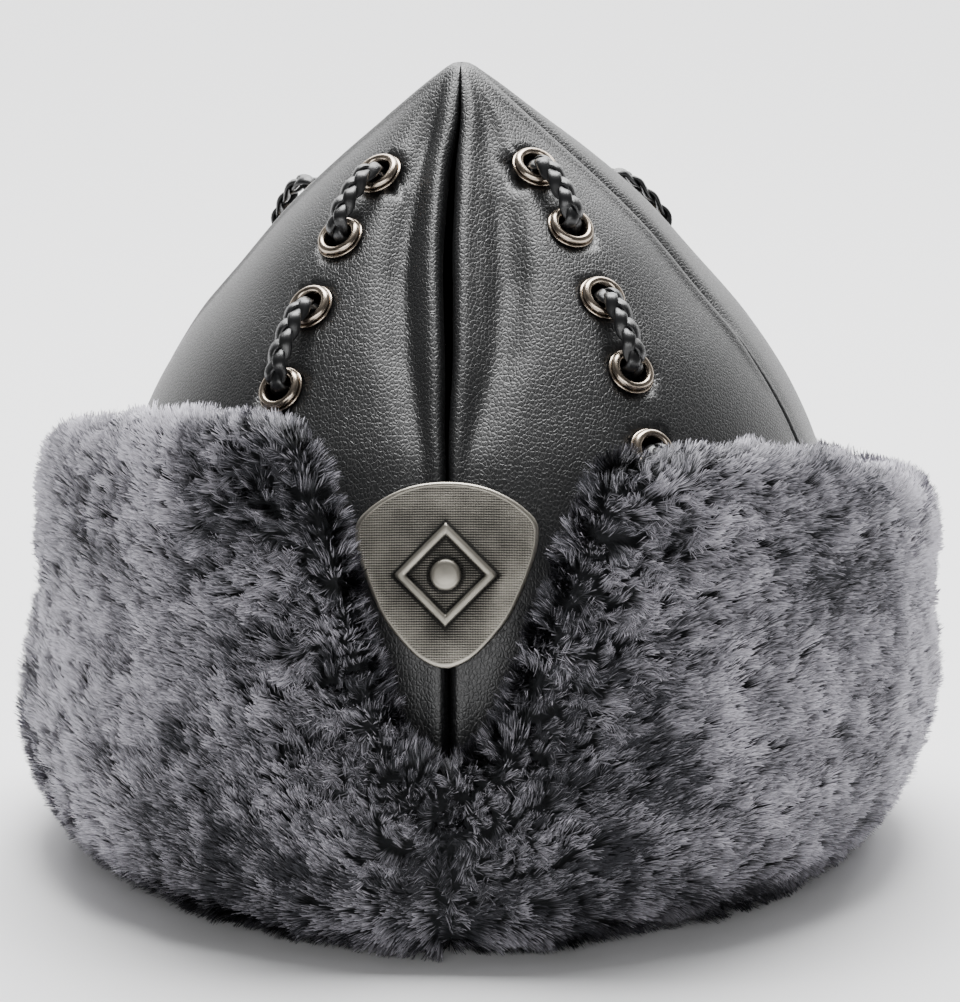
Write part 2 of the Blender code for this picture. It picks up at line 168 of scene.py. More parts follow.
# %% World and lamps
FRONT_GLOW, BACK_GLOW, TOP_GLOW = 0.07, 2.2, 0.25

world = bpy.data.worlds.new("studio")
world.use_nodes = True
tree = world.node_tree
tree.nodes.clear()
split = add_node(tree, "SeparateXYZ", inputs={0: add_node(tree, "TexCoord").outputs["Generated"]})
to_back = ranged(tree, split.outputs["Y"], (0.35, 0.90), (FRONT_GLOW, BACK_GLOW), "SMOOTHSTEP")
to_top = ranged(tree, split.outputs["Z"], (0.60, 0.98), (0.0, TOP_GLOW), "SMOOTHSTEP")
background = add_node(tree, "Background", inputs={
    "Color": linear("#ffffff"), "Strength": reckoned(tree, "MAXIMUM", to_back, to_top)})
add_node(tree, "OutputWorld", inputs={"Surface": background.outputs[0]})
bpy.context.scene.world = world

# Lamps: name, place, aim, width, height, watts
LAMPS = (
    ("overhead", (0.0, 0.28, 1.25), (0.0, 0.0, 0.10), 0.9, 0.60, 38.0),
    ("front", (0.0, -1.35, 0.36), (0.0, 0.0, 0.05), 1.2, 0.35, 8.5),
    ("left", (-1.25, 0.10, 0.55), (0.0, 0.0, 0.08), 1.0, 1.3, 0.6),
    ("right", (1.25, 0.10, 0.55), (0.0, 0.0, 0.08), 1.0, 1.3, 0.6),
    ("sweep", (0.0, 1.9, 1.6), (0.0, 1.5, 0.0), 2.6, 1.8, 90.0),
)
for name, place, aim, width, height, watts in LAMPS:
    lamp = bpy.data.lights.new("lamp_" + name, "AREA")
    lamp.shape = "RECTANGLE"
    lamp.size = width
    lamp.size_y = height
    lamp.energy = watts
    holder = add_object("lamp_" + name, lamp)
    holder.location = place
    holder.rotation_euler = (Vector(place) - Vector(aim)).to_track_quat("Z", "Y").to_euler()
print(f"{len(LAMPS)} soft boxes, view transform {bpy.context.scene.view_settings.view_transform}")

# %% Floor
FLOOR_SIZE = 6.0

paper, tree, shader = new_finish("white_paper")
feed(tree, shader, {"Base Color": linear("#f2f2f3"), "Roughness": 0.9})
builder = bmesh.new()
bmesh.ops.create_grid(builder, x_segments=1, y_segments=1, size=FLOOR_SIZE / 2)
mesh = bpy.data.meshes.new("floor")
builder.to_mesh(mesh)
builder.free()
mesh.materials.append(paper)
floor = add_object("floor", mesh)

# %% [markdown]
# ## The crown's shape
#
# The crown is a stack of ovals, given by a short table from the point down: how deep each oval lies,
# how wide it is, how much longer than wide, and how far the middle of each panel swells out. A smooth
# curve through the rows gives every depth between. The point leans forward and a little to one side.

# %% Tables of the crown
HEAD_WIDTH = 0.170
CROWN_FOOT = 0.005
CROWN_DEPTH = HEIGHT - CROWN_FOOT
LEATHER = 0.002
LEAN_FORWARD = 0.006
LEAN_DEPTH = 0.110
LEAN_SIDE = -0.0035
LEAN_SIDE_DEPTH = 0.160
# Steps for the ways along the leather: in depth, and in degrees round
DEPTH_STEP, TURN_STEP = 0.0004, 0.5
# Crown sections: depth, share of the head width, length over width, swell of the panels
CROWN_ROWS = (
    (0.0, 0.004, 1.00, 0.00),
    (0.0004, 0.024, 1.00, 0.00),
    (0.001, 0.038, 1.00, 0.00),
    (0.0024, 0.060, 1.00, 0.01),
    (0.006, 0.112, 1.00, 0.02),
    (0.014, 0.218, 1.01, 0.05),
    (0.024, 0.352, 1.03, 0.07),
    (0.036, 0.499, 1.05, 0.07),
    (0.050, 0.641, 1.085, 0.05),
    (0.064, 0.780, 1.085, 0.03),
    (0.080, 0.897, 1.11, 0.01),
    (0.098, 0.976, 1.13, 0.00),
    (0.125, 1.020, 1.15, 0.00),
    (0.155, 1.015, 1.16, 0.00),
    (CROWN_DEPTH, 1.000, 1.165, 0.00),
)
# Laced rows: name, angle at the first and last eyelet, eyelet depths
LACED_ROWS = (
    ("front_right", 40.5, 35.0, (0.0200, 0.0316, 0.0455, 0.0606, 0.0776, 0.0935)),
    ("front_left", -40.2, -31.5, (0.0215, 0.0340, 0.0478, 0.0650, 0.0820, 0.0975)),
    ("back_right", 142.0, 122.0, (0.0390, 0.0540, 0.0700, 0.0860)),
    ("back_left", -128.0, -132.0, (0.0390, 0.0540, 0.0700, 0.0860)),
)


# %% Points on the crown
def clamped(value):
    """The value, kept between 0 and 1."""
    return np.clip(value, 0.0, 1.0)


def smooth_value(rows, place, column):
    """A table's column at places along its first column, on a smooth curve through the rows."""
    rows = np.array(rows)
    along, value = rows[:, 0], rows[:, column]
    low = np.maximum(np.arange(len(along)) - 1, 0)
    high = np.minimum(np.arange(len(along)) + 1, len(along) - 1)
    slope = (value[high] - value[low]) / (along[high] - along[low])
    i = np.clip(np.searchsorted(along, place) - 1, 0, len(along) - 2)
    span = along[i + 1] - along[i]
    share = clamped((place - along[i]) / span)
    square, cube = share**2, share**3
    return (value[i] * (2 * cube - 3 * square + 1) + slope[i] * span * (cube - 2 * square + share)
            + value[i + 1] * (3 * square - 2 * cube) + slope[i + 1] * span * (cube - square))


def crown_points(angle, depth):
    """Points on the outside of the crown at angles from the front and depths from the point."""
    turn = np.radians(angle)
    half_width = HEAD_WIDTH / 2 * smooth_value(CROWN_ROWS, depth, 1)
    half_length = half_width * smooth_value(CROWN_ROWS, depth, 2)
    swell = 1.0 + smooth_value(CROWN_ROWS, depth, 3) * np.sin(2 * turn) ** 2
    x = half_width * swell * np.sin(turn)
    y = -half_length * swell * np.cos(turn)
    left_over = np.maximum(1.0 - depth / LEAN_DEPTH, 0.0)
    side_left_over = np.maximum(1.0 - depth / LEAN_SIDE_DEPTH, 0.0)
    tilt = np.arctan(2 * LEAN_FORWARD / LEAN_DEPTH * left_over)
    return np.stack([
        LEAN_SIDE * side_left_over**2 + x,
        -LEAN_FORWARD * left_over**2 + y * np.cos(tilt),
        HEIGHT - depth + y * np.sin(tilt),
    ], axis=-1)


def unit(vectors):
    """The same directions, one unit long."""
    return vectors / np.maximum(np.linalg.norm(vectors, axis=-1, keepdims=True), 1e-9)


def crown_frames(angle, depth):
    """Points on the crown with the ways down the row, across it and out of the leather."""
    angle, depth = np.broadcast_arrays(np.asarray(angle, float), np.asarray(depth, float))
    above = crown_points(angle, np.maximum(depth - DEPTH_STEP, 0.0))
    down = unit(crown_points(angle, depth + DEPTH_STEP) - above)
    across = crown_points(angle + TURN_STEP, depth) - crown_points(angle - TURN_STEP, depth)
    outward = unit(np.cross(down, across))
    return crown_points(angle, depth), down, np.cross(outward, down), outward


ROW_OVERRUN = 0.5


def row_angles(row, depth):
    """Angle of a laced row at these depths, which run a little past its ends."""
    share = (np.asarray(depth) - row[3][0]) / (row[3][-1] - row[3][0])
    return row[1] + (row[2] - row[1]) * np.clip(share, -ROW_OVERRUN, 1 + ROW_OVERRUN)


# %% Eyelet seats
EYELET_SEATS = {}
SEAT_PLACES = []
for row in LACED_ROWS:
    for number, depth in enumerate(row[3], 1):
        seat = crown_frames(row_angles(row, depth), depth)
        EYELET_SEATS[f"{row[0]}_{number}"] = seat
        SEAT_PLACES.append((float(row_angles(row, depth)), depth))
print(f"{len(EYELET_SEATS)} eyelet seats on a crown {HEAD_WIDTH / MM:.0f} mm wide")

# %% [markdown]
# ## Finishes
#
# The leather is coated and embossed with a pebble grain: rounded cells about 0.9 mm wide and 1.2 mm
# long, with fine grooves between them. Flat Voronoi cells on the panel's own UV map, which is laid out
# in millimetres, give that pattern, and the distance to a cell's edge gives each pebble its dome. The
# coating is smooth, so it shines softly even though it is nearly black.

# %% Helpers for surfaces
def mixed(tree, share, first, second):
    """A colour between two others, by a share from 0 to 1."""
    return add_node(tree, "MixRGB", {}, {"Fac": share, "Color1": first, "Color2": second}).outputs[0]


def clouded(tree, place, scale, detail, dimensions="3D"):
    """A soft noise from 0 to 1."""
    return add_node(tree, "TexNoise", {"noise_dimensions": dimensions}, {
        "Vector": place, "Scale": scale, "Detail": detail}).outputs["Fac"]


def bumped(tree, height, depth, strength=1.0):
    """The normal of a surface with this relief, at its real depth."""
    return add_node(tree, "Bump", inputs={
        "Strength": strength, "Distance": depth, "Height": height}).outputs[0]


# %% Leather
PEBBLE_WIDTH, PEBBLE_LENGTH = 0.86, 1.24
PEBBLE_DEPTH = 0.048 * MM

pebbled_leather, tree, shader = new_finish("pebbled_leather")
cells = add_node(tree, "Mapping", inputs={
    "Vector": add_node(tree, "UVMap").outputs[0],
    "Scale": (1 / PEBBLE_WIDTH, 1 / PEBBLE_LENGTH, 1.0)}).outputs[0]
wander = add_node(tree, "TexNoise", {"noise_dimensions": "2D"}, {
    "Vector": cells, "Scale": 0.8, "Detail": 1.0})
warped = add_node(tree, "MixRGB", {"blend_type": "ADD"}, {
    "Fac": 0.75, "Color1": cells, "Color2": wander.outputs["Color"]})
pebbles = {"Vector": warped.outputs[0], "Scale": 1.0, "Randomness": 0.9}
to_edge = add_node(
    tree, "TexVoronoi", {"feature": "DISTANCE_TO_EDGE", "voronoi_dimensions": "2D"}, pebbles)
own_colour = add_node(tree, "TexVoronoi", {"voronoi_dimensions": "2D"}, pebbles).outputs["Color"]
dome = ranged(tree, to_edge.outputs["Distance"], (0.01, 0.28), WHOLE, "SMOOTHSTEP")
own_share = add_node(tree, "SeparateColor", inputs={0: own_colour}).outputs["Red"]
height = reckoned(tree, "MULTIPLY", dome, reckoned(tree, "MULTIPLY_ADD", own_share, 0.45, 0.70))
height = reckoned(tree, "MULTIPLY_ADD", clouded(tree, cells, 4.0, 2.0, "2D"), 0.16, height)
# The base colour is darker in the grooves than on the pebbles' tops: painted shade between the
# pebbles.
feed(tree, shader, {
    "Base Color": mixed(tree, dome, linear("#050506"), linear("#131415")),
    "Roughness": ranged(tree, dome, WHOLE, (0.46, 0.35)),
    "Normal": bumped(tree, height, PEBBLE_DEPTH),
    "Specular IOR Level": 0.65})

# %% [markdown]
# The inside of the panels is the leather's knitted backing, a dull dark cloth. The lacing is thin
# split leather, smoother and glossier than the panels, with faint lines along each thong.

# %% Backing cloth and braided thong
KNIT = 0.9 * MM

backing_cloth, tree, shader = new_finish("backing_cloth")
knit = add_node(tree, "TexVoronoi", {}, {
    "Vector": add_node(tree, "TexCoord").outputs["Object"], "Scale": 1 / KNIT}).outputs["Distance"]
feed(tree, shader, {
    "Base Color": mixed(tree, knit, linear("#2b2b2d"), linear("#151516")), "Roughness": 0.9})

braided_thong, tree, shader = new_finish("braided_thong")
lines = add_node(tree, "Mapping", inputs={
    "Vector": add_node(tree, "UVMap").outputs[0], "Scale": (220.0, 9.0, 1.0)})
streak = clouded(tree, lines.outputs[0], 1.0, 2.0)
feed(tree, shader, {
    "Base Color": mixed(tree, streak, linear("#060607"), linear("#131416")),
    "Normal": bumped(tree, streak, 0.05 * MM, 0.5),
    "Roughness": 0.34, "Coat Weight": 0.30, "Coat Roughness": 0.22})

# %% [markdown]
# The eyelets are nickel-plated brass, a warm white metal with a soft polish. The badge is cast and
# then darkened: its high places are rubbed bright again, and the black stays between the ribs. The
# badge's mesh carries two numbers, one for its ribbed field and one for how much it is rubbed.

# %% Metals
RIB = 0.57 * MM
RIB_DEPTH = 0.05 * MM


def carried(tree, name):
    """A number that the mesh carries."""
    return add_node(tree, "Attribute", {"attribute_name": name})


nickel_plate, tree, shader = new_finish("nickel_plate")
cloud = clouded(tree, add_node(tree, "TexCoord").outputs["Object"], 420.0, 3.0)
feed(tree, shader, {
    "Base Color": linear("#b0a394"), "Metallic": 1.0,
    "Roughness": ranged(tree, cloud, WHOLE, (0.16, 0.32))})

darkened_nickel, tree, shader = new_finish("darkened_nickel")
place = add_node(tree, "UVMap").outputs[0]
split = add_node(tree, "SeparateXYZ", inputs={0: place})
rows, dots = [
    reckoned(tree, "SINE", reckoned(tree, "MULTIPLY", split.outputs[way], 2 * math.pi * MM / RIB))
    for way in ("Y", "X")]
ribs = reckoned(tree, "MULTIPLY_ADD", dots, 0.28, rows)
relief = reckoned(tree, "MULTIPLY", ribs, carried(tree, "field").outputs["Fac"])
bright = reckoned(tree, "MULTIPLY_ADD", clouded(tree, place, 0.11, 4.0), 0.60, -0.38)
bright = reckoned(tree, "ADD", bright, carried(tree, "rubbed").outputs["Fac"])
bright = reckoned(tree, "MULTIPLY_ADD", relief, 0.20, bright, clamp=True)
feed(tree, shader, {
    "Base Color": mixed(tree, bright, linear("#21201e"), linear("#b9b4a8")),
    "Roughness": ranged(tree, bright, WHOLE, (0.55, 0.30)),
    "Normal": bumped(tree, relief, RIB_DEPTH), "Metallic": 0.9})

# %% [markdown]
# The fur is a frosted plush: black-brown at the root and pale grey at the tip. Each hair carries two
# numbers, its share of the way from root to tip and how frosted its tip is, and the finish mixes the
# three colours from them. The frost number holds painted shade as well, darker at the cuff's foot and
# in the creases, and painted light, paler on the sides that catch the light from the sides and behind.
# The cloth that the hairs grow from is dark.

# %% Fur
frosted_fur, tree, shader = new_finish("frosted_fur")
parts = add_node(tree, "SeparateColor", inputs={0: carried(tree, "strand").outputs["Color"]})
# The green number is the frost, with painted shade and painted light in it.
tip = mixed(tree, parts.outputs["Green"], linear("#25262b"), linear("#cfccd6"))
toward_tip = ranged(tree, parts.outputs["Red"], (0.42, 0.96), WHOLE, "SMOOTHSTEP")
feed(tree, shader, {
    "Base Color": mixed(tree, toward_tip, linear("#101214"), tip),
    "Roughness": 0.62, "Specular IOR Level": 0.25})

fur_cloth, tree, shader = new_finish("fur_cloth")
weave = clouded(tree, add_node(tree, "TexCoord").outputs["Object"], 600.0, 2.0)
feed(tree, shader, {
    "Base Color": mixed(tree, weave, linear("#0d0e0f"), linear("#24262a")), "Roughness": 0.95})
print(f"{len(bpy.data.materials)} materials")

# %% [markdown]
# ## The leather panels
#
# Each panel is one piece of leather, sewn to its neighbours with the edges turned in, so every seam
# is a slit between two rolled lips. A grid is bent to the crown's shape, its edge columns roll down
# into the slit, and a second grid behind it is the cloth side. Faces between the two grids close the
# leather's edge all round. The eyelet holes are cut through both grids, and a bridge between a
# hole's two rims makes its wall.

# %% Panel sizes
# Rolled edge: distance from the slit's side, height in mm
ROLLED_EDGE = ((0.00, -4.2), (0.04, -3.0), (0.16, -2.0), (0.42, -1.1), (0.80, -0.50), (1.30, -0.14),
               (1.90, 0.0))
# Distances in mm of the next columns, up to the first one of the panel's even middle
NEAR_COLUMNS = (2.6, 3.4, 4.4, 5.5, 6.7, 8.0, 9.4, 11.0, 13.0, 15.5)
MIDDLE_COLUMNS = 32
PANEL_ROWS = 112
# Seam edges by depth, in mm: depth, slit's half-width, lip height, pleat depth, place of its lowest
# line, its width towards the seam and away from it
FRONT_FOOT = (
    (76.0, 0.32, 0.6, 0.8, 4.8, 2.0, 4.0), (90.0, 0.26, 0.5, 0.3, 4.0, 1.8, 3.0),
    (110.0, 0.26, 0.4, 0.0, 4.0, 1.8, 3.0))
SEAM_EDGES = {
    "front_left": (
        (0.0, 0.14, 0.2, 0.0, 3.0, 1.4, 1.6), (3.0, 0.20, 0.4, 0.5, 4.2, 1.7, 2.0),
        (8.5, 0.42, 0.7, 1.6, 7.0, 2.5, 2.6), (17.5, 0.75, 0.9, 2.4, 8.0, 2.8, 3.4),
        (32.0, 1.08, 0.9, 3.0, 9.4, 3.3, 4.2), (40.0, 1.15, 0.9, 3.0, 9.8, 3.4, 4.6),
        (55.0, 0.90, 0.8, 2.5, 9.0, 3.2, 5.0), (67.0, 0.55, 0.7, 1.5, 6.6, 2.6, 4.6),
        *FRONT_FOOT),
    "front_right": (
        (0.0, 0.14, 0.2, 0.0, 3.0, 1.4, 1.6), (3.0, 0.20, 0.4, 0.5, 4.0, 1.7, 2.0),
        (8.5, 0.42, 0.7, 1.6, 7.0, 2.5, 2.6), (17.5, 0.75, 1.0, 2.5, 10.2, 3.8, 2.4),
        (25.0, 0.92, 1.1, 2.9, 11.2, 4.2, 3.2), (40.0, 1.15, 1.1, 3.2, 12.0, 4.4, 4.6),
        (55.0, 0.90, 0.9, 2.6, 10.6, 4.0, 5.0), (67.0, 0.55, 0.8, 1.6, 7.4, 2.8, 4.6),
        *FRONT_FOOT),
    "lapping": (
        (0.0, 0.16, 0.2, 0.0, 3.0, 2.0, 2.0), (12.0, 0.22, 0.6, 0.0, 3.0, 2.0, 2.0),
        (60.0, 0.24, 0.7, 0.0, 3.0, 2.0, 2.0), (75.0, 0.22, 0.3, 0.3, 2.5, 1.5, 2.5),
        (110.0, 0.22, 0.2, 0.3, 2.5, 1.5, 2.5)),
    "lapped": (
        (0.0, 0.16, 0.0, 0.0, 1.2, 2.0, 2.5), (12.0, 0.24, -0.2, 2.0, 1.4, 2.0, 3.4),
        (35.0, 0.26, -0.3, 3.0, 1.8, 2.2, 4.2), (50.0, 0.26, -0.3, 2.2, 1.8, 2.2, 4.0),
        (62.0, 0.22, 0.1, 0.5, 2.2, 2.0, 3.0), (110.0, 0.22, 0.2, 0.3, 2.5, 1.5, 2.5)),
    "back": (
        (0.0, 0.16, 0.2, 0.0, 3.5, 1.8, 3.0), (25.0, 0.40, 0.6, 0.9, 4.5, 2.2, 4.0),
        (60.0, 0.42, 0.6, 0.9, 4.5, 2.2, 4.0), (110.0, 0.26, 0.4, 0.1, 4.0, 2.0, 3.0)),
}
LIP_PLACE, LIP_WIDTH = 2.6, 1.9
# Depths where the relief begins and where the side seams are fully open
RELIEF_TOP, CLOSED_TOP, LEAST_OPEN = 0.004, 0.008, 0.03
# The leather lies flat round an eyelet, in mm, and in the middle of a panel, in shares of half of it
CLAMPED_REACH, RELIEF_FADE = 8.0, 0.5
STITCH_PITCH, STITCH_DEPTH, STITCH_PLACE, STITCH_WIDTH = 3.0, 0.05, 2.6, 0.5
# About how many mm of leather lie along a seam for each mm of depth
SLOPE = 1.35
# The front seam wanders sideways: depth, mm
SEAM_DRIFT = ((0.0, 0.0), (0.010, -0.1), (0.018, -1.35), (0.026, -1.85), (0.034, -2.05), (0.044, -1.6),
              (0.056, -1.05), (0.068, -1.1), (0.080, -0.7), (0.105, -0.1), (CROWN_DEPTH, 0.0))
DRIFT_REACH = 24.0
MOST_SWING = 4.0
# Room in mm left for a panel's middle, and added at the point to lay a panel flat
MIDDLE_ROOM, POINT_ROOM = 4.0, 4.0
# Below this height in mm the rolled edge has turned in, and its cloth side lies this close behind
TURNED_IN, EDGE_WALL = -2.0, 0.15
PANELS = (
    ("crown_front_right", 0, 77, "front_right", "lapping"),
    ("crown_back_right", 77, 180, "lapped", "back"),
    ("crown_back_left", -180, -96, "back", "lapped"),
    ("crown_front_left", -96, 0, "lapping", "front_left"),
)


# %% Relief beside a seam
def hill(distance, place, width):
    """A smooth hill, 1 high at its place and a third of that a width away from it."""
    return np.exp(-(((distance - place) / width) ** 2))


def seam_values(edge, depth):
    """A seam edge's numbers at these depths, one row of them for each column of its table."""
    table = np.array(SEAM_EDGES[edge])
    return [np.interp(depth / MM, table[:, 0], column) for column in table[:, 1:].T]


def seam_relief(edge, distance, depth):
    """Height in mm of the leather beside a seam: its lip, its pleat and the line of stitches."""
    _, lip, pleat, lowest, near, far = seam_values(edge, depth)
    width = np.where(distance < lowest, near, far)
    relief = lip * hill(distance, LIP_PLACE, LIP_WIDTH) - pleat * hill(distance, lowest, width)
    stitches = 0.5 + 0.5 * np.cos(2 * np.pi * depth * SLOPE / (STITCH_PITCH * MM))
    return relief - STITCH_DEPTH * (1.0 + stitches) * hill(distance, STITCH_PLACE, STITCH_WIDTH)


# %% Points of a panel
def degrees_per_mm(angle, depth):
    """How far round the crown a millimetre reaches at an angle and depth."""
    step = crown_points(angle + TURN_STEP, depth) - crown_points(angle - TURN_STEP, depth)
    return 2 * TURN_STEP * MM / np.maximum(np.linalg.norm(step, axis=-1), 1e-6)


def panel_columns():
    """Columns from one seam to the middle of a panel: distance (mm), rolled height, middle share."""
    columns = [(distance, height, 0.0) for distance, height in ROLLED_EDGE]
    columns += [(distance, 0.0, 0.0) for distance in NEAR_COLUMNS]
    half = MIDDLE_COLUMNS // 2
    columns += [(NEAR_COLUMNS[-1], 0.0, (i + 1) / (half + 1)) for i in range(half)]
    return columns


def laid_flat(start, end, angle, depth):
    """Where a point lies, in mm, on the panel unrolled from its seam at the front or the back."""
    seam = start if abs(start) % 180 == 0 else end
    shares = np.linspace(0, 1, 9)[:, None]
    ways = ((seam + (angle - seam) * shares, depth + 0 * shares), (angle + 0 * shares, depth * shares))
    reach, walked = [
        np.linalg.norm(np.diff(crown_points(*way), axis=0), axis=2).sum(axis=0) / MM for way in ways]
    walked += POINT_ROOM
    turn = reach / walked * np.where(angle < seam, -1.0, 1.0)
    return np.stack([walked * np.sin(turn), walked * np.cos(turn)], axis=-1)


def panel_points(panel, across, depth):
    """Outer and inner points of a panel at column shares and depths, and their places laid flat."""
    _, start, end, *edges = panel
    half = np.array(panel_columns())
    count = 2 * len(half)
    index = np.rint(across * (count - 1)).astype(int)
    first_side = index < len(half)
    distance, rolled, middle = half[np.where(first_side, index, count - 1 - index)].T
    seam_angle = np.where(first_side, start, end)
    sign = np.where(first_side, 1.0, -1.0)
    per_mm = degrees_per_mm(seam_angle, depth)
    room = np.minimum((end - start) / 2 / per_mm / (NEAR_COLUMNS[-1] + MIDDLE_ROOM), 1.0)
    slit = np.where(first_side, *[seam_values(edge, depth)[0] for edge in edges])
    edge_angle = seam_angle + sign * (slit + distance) * room * per_mm
    last_angle = seam_angle + sign * (slit + NEAR_COLUMNS[-1]) * room * per_mm
    angle = np.where(middle > 0, last_angle + ((start + end) / 2 - last_angle) * middle, edge_angle)
    reach = np.abs(angle - seam_angle) / per_mm - slit * room
    relief = np.where(first_side, *[seam_relief(edge, reach, depth) for edge in edges])
    share = np.abs(angle - seam_angle) / ((end - start) / 2)
    relief *= clamped(depth / RELIEF_TOP) * clamped((1.0 - share) / RELIEF_FADE)
    opened = np.clip(depth / CLOSED_TOP, LEAST_OPEN, 1.0)
    rolled = rolled * np.where(seam_angle % 180 == 0, 1.0, opened)
    flat = laid_flat(start, end, angle, depth)
    swing = np.minimum(degrees_per_mm(0.0, depth), MOST_SWING)
    drift = smooth_value(SEAM_DRIFT, depth, 1) * swing * hill(angle, 0.0, DRIFT_REACH)
    point, _, _, outward = crown_frames(angle + drift, depth)
    for seat in EYELET_SEATS.values():
        relief *= 1.0 - hill(np.linalg.norm(point - seat[0], axis=-1) / MM, 0.0, CLAMPED_REACH)
    outer = point + outward * ((rolled * room + relief) * MM)[:, None]
    behind = np.where(rolled < TURNED_IN, rolled - EDGE_WALL, -LEATHER / MM) * room
    inner = point + outward * ((behind + np.minimum(relief, 0.0)) * MM)[:, None]
    return outer, inner, flat


# %% From a grid to a piece
def share_grid(builder, columns, rows):
    """Verts of a flat grid, with each one's shares of the way along it and up it."""
    grid = bmesh.ops.create_grid(
        builder, x_segments=columns, y_segments=rows, size=0.5, calc_uvs=True)["verts"]
    return grid, np.array([vert.co for vert in grid])[:, :2] + 0.5


def piece_of(mesh, finishes):
    """An object of a mesh and its finishes that rides on the cap."""
    for finish in finishes:
        mesh.materials.append(finish)
    piece = add_object(mesh.name, mesh)
    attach(piece, "root")
    return piece


def object_of(name, builder, finishes):
    """Turns a bmesh into a smooth-shaded piece."""
    mesh = bpy.data.meshes.new(name)
    builder.to_mesh(mesh)
    builder.free()
    mesh.shade_smooth()
    return piece_of(mesh, finishes)


# %% Two sides and a cut edge
ROW_SPREAD = 1.25


def panel_side(builder, panel, side, laid):
    """The outer or the cloth side of the leather as a bent grid: its verts by column and row."""
    last = (2 * len(panel_columns()) - 1, PANEL_ROWS - 1)
    grid, shares = share_grid(builder, *last)
    outer, inner, places = panel_points(
        panel, shares[:, 0], CROWN_DEPTH * shares[:, 1] ** ROW_SPREAD)
    for vert, point, place in zip(grid, inner if side else outer, places):
        vert.co = point
        laid[vert] = place
    faces = list({face for vert in grid for face in vert.link_faces})
    for face in faces:
        face.material_index = side
    if not side:
        bmesh.ops.reverse_faces(builder, faces=faces)
    steps = np.rint(shares * last).astype(int).tolist()
    return {tuple(step): vert for step, vert in zip(steps, grid)}


def close_border(builder, outer, inner):
    """Faces all along the leather's cut edge, between its two sides."""
    columns, rows = max(outer)
    border = [(i, 0) for i in range(columns)] + [(columns, i) for i in range(rows)]
    border += [(columns - i, rows) for i in range(columns)] + [(0, rows - i) for i in range(rows)]
    for here, there in zip(border, border[1:] + border[:1]):
        builder.faces.new((outer[here], outer[there], inner[there], inner[here]))


# %% Eyelet holes
HOLE_RADIUS = 0.0043
CUT_RADIUS = HOLE_RADIUS * 1.12


def round_hole(rim_verts, seat, seat_place, panel, laid):
    """Pulls the verts round an eyelet's hole onto a circle, and their places laid flat with them."""
    point, down, across, outward = (np.array(part) for part in seat)
    for vert in rim_verts:
        offset = np.array(vert.co) - point
        flat = np.array([offset @ across, offset @ down])
        flat *= HOLE_RADIUS / np.linalg.norm(flat)
        vert.co = point + flat[0] * across + flat[1] * down + (offset @ outward) * outward
        angle = seat_place[0] + flat[0] / MM * degrees_per_mm(*seat_place)
        depth = seat_place[1] - flat[1] * down[2]
        laid[vert] = laid_flat(panel[1], panel[2], np.array([angle]), np.array([depth]))[0]


def cut_holes(builder, panel, laid):
    """Cuts the eyelet holes through both sides, and returns the edges of each hole's rims."""
    places = np.array([vert.co for vert in builder.verts])
    holes = np.zeros(len(places), bool)
    for seat in EYELET_SEATS.values():
        holes |= np.linalg.norm(places - seat[0], axis=1) < CUT_RADIUS
    cut = [vert for vert, hole in zip(builder.verts, holes) if hole]
    bmesh.ops.delete(builder, geom=cut, context="VERTS")
    rims = [edge for edge in builder.edges if edge.is_boundary]
    middles = np.array([(edge.verts[0].co + edge.verts[1].co) / 2 for edge in rims])
    hole_rims = []
    for seat, seat_place in zip(EYELET_SEATS.values(), SEAT_PLACES):
        near = np.linalg.norm(middles - seat[0], axis=1) < 2 * HOLE_RADIUS
        if near.any():
            hole_rims.append([rims[i] for i in np.flatnonzero(near)])
            rim_verts = {vert for edge in hole_rims[-1] for vert in edge.verts}
            round_hole(rim_verts, seat, seat_place, panel, laid)
    return hole_rims


# %% Make the panels
for panel in PANELS:
    builder = bmesh.new()
    uv_layer = builder.loops.layers.uv.new("UVMap")
    laid = {}
    close_border(builder, *[panel_side(builder, panel, side, laid) for side in (0, 1)])
    hole_rims = cut_holes(builder, panel, laid)
    for face in builder.faces:
        for corner in face.loops:
            corner[uv_layer].uv = laid[corner.vert]
    for hole_rim in hole_rims:
        bmesh.ops.bridge_loops(builder, edges=hole_rim)
    bmesh.ops.holes_fill(builder, edges=[edge for edge in builder.edges if edge.is_boundary])
    piece = object_of("leather_" + panel[0], builder, [pebbled_leather, backing_cloth])
    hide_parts(panel[0])
    print(f"{piece.name}: {len(piece.data.polygons)} faces")

# %% [markdown]
# ## Eyelets
#
# Each eyelet is turned from sheet brass in two parts: a barrel with a domed ring on top, which stands
# up from the leather, and a flat washer under the dome. Seen from the side, the dome and the washer
# show as two rings. A profile is spun round the hole's axis.

# %% Turned profiles
EYELET_SIDES = 36
# Barrel and dome: radius, height in mm, up the hole, over the dome and back down outside
DOME_PROFILE = (
    (3.30, -3.2), (3.24, -0.8), (3.25, 0.7), (3.36, 1.30), (3.66, 1.76), (4.10, 1.98), (4.55, 1.94),
    (4.96, 1.68), (5.26, 1.24), (5.36, 0.86), (5.22, 0.72), (4.60, 0.80), (4.05, 0.62), (3.86, 0.2),
    (3.82, -2.2), (4.30, -2.50), (4.95, -2.46), (5.12, -2.72), (4.85, -3.00), (3.60, -3.34),
)
WASHER_PROFILE = (
    (3.98, 0.36), (5.30, 0.44), (5.62, 0.34), (5.72, 0.12), (5.60, -0.04), (3.98, -0.05),
)


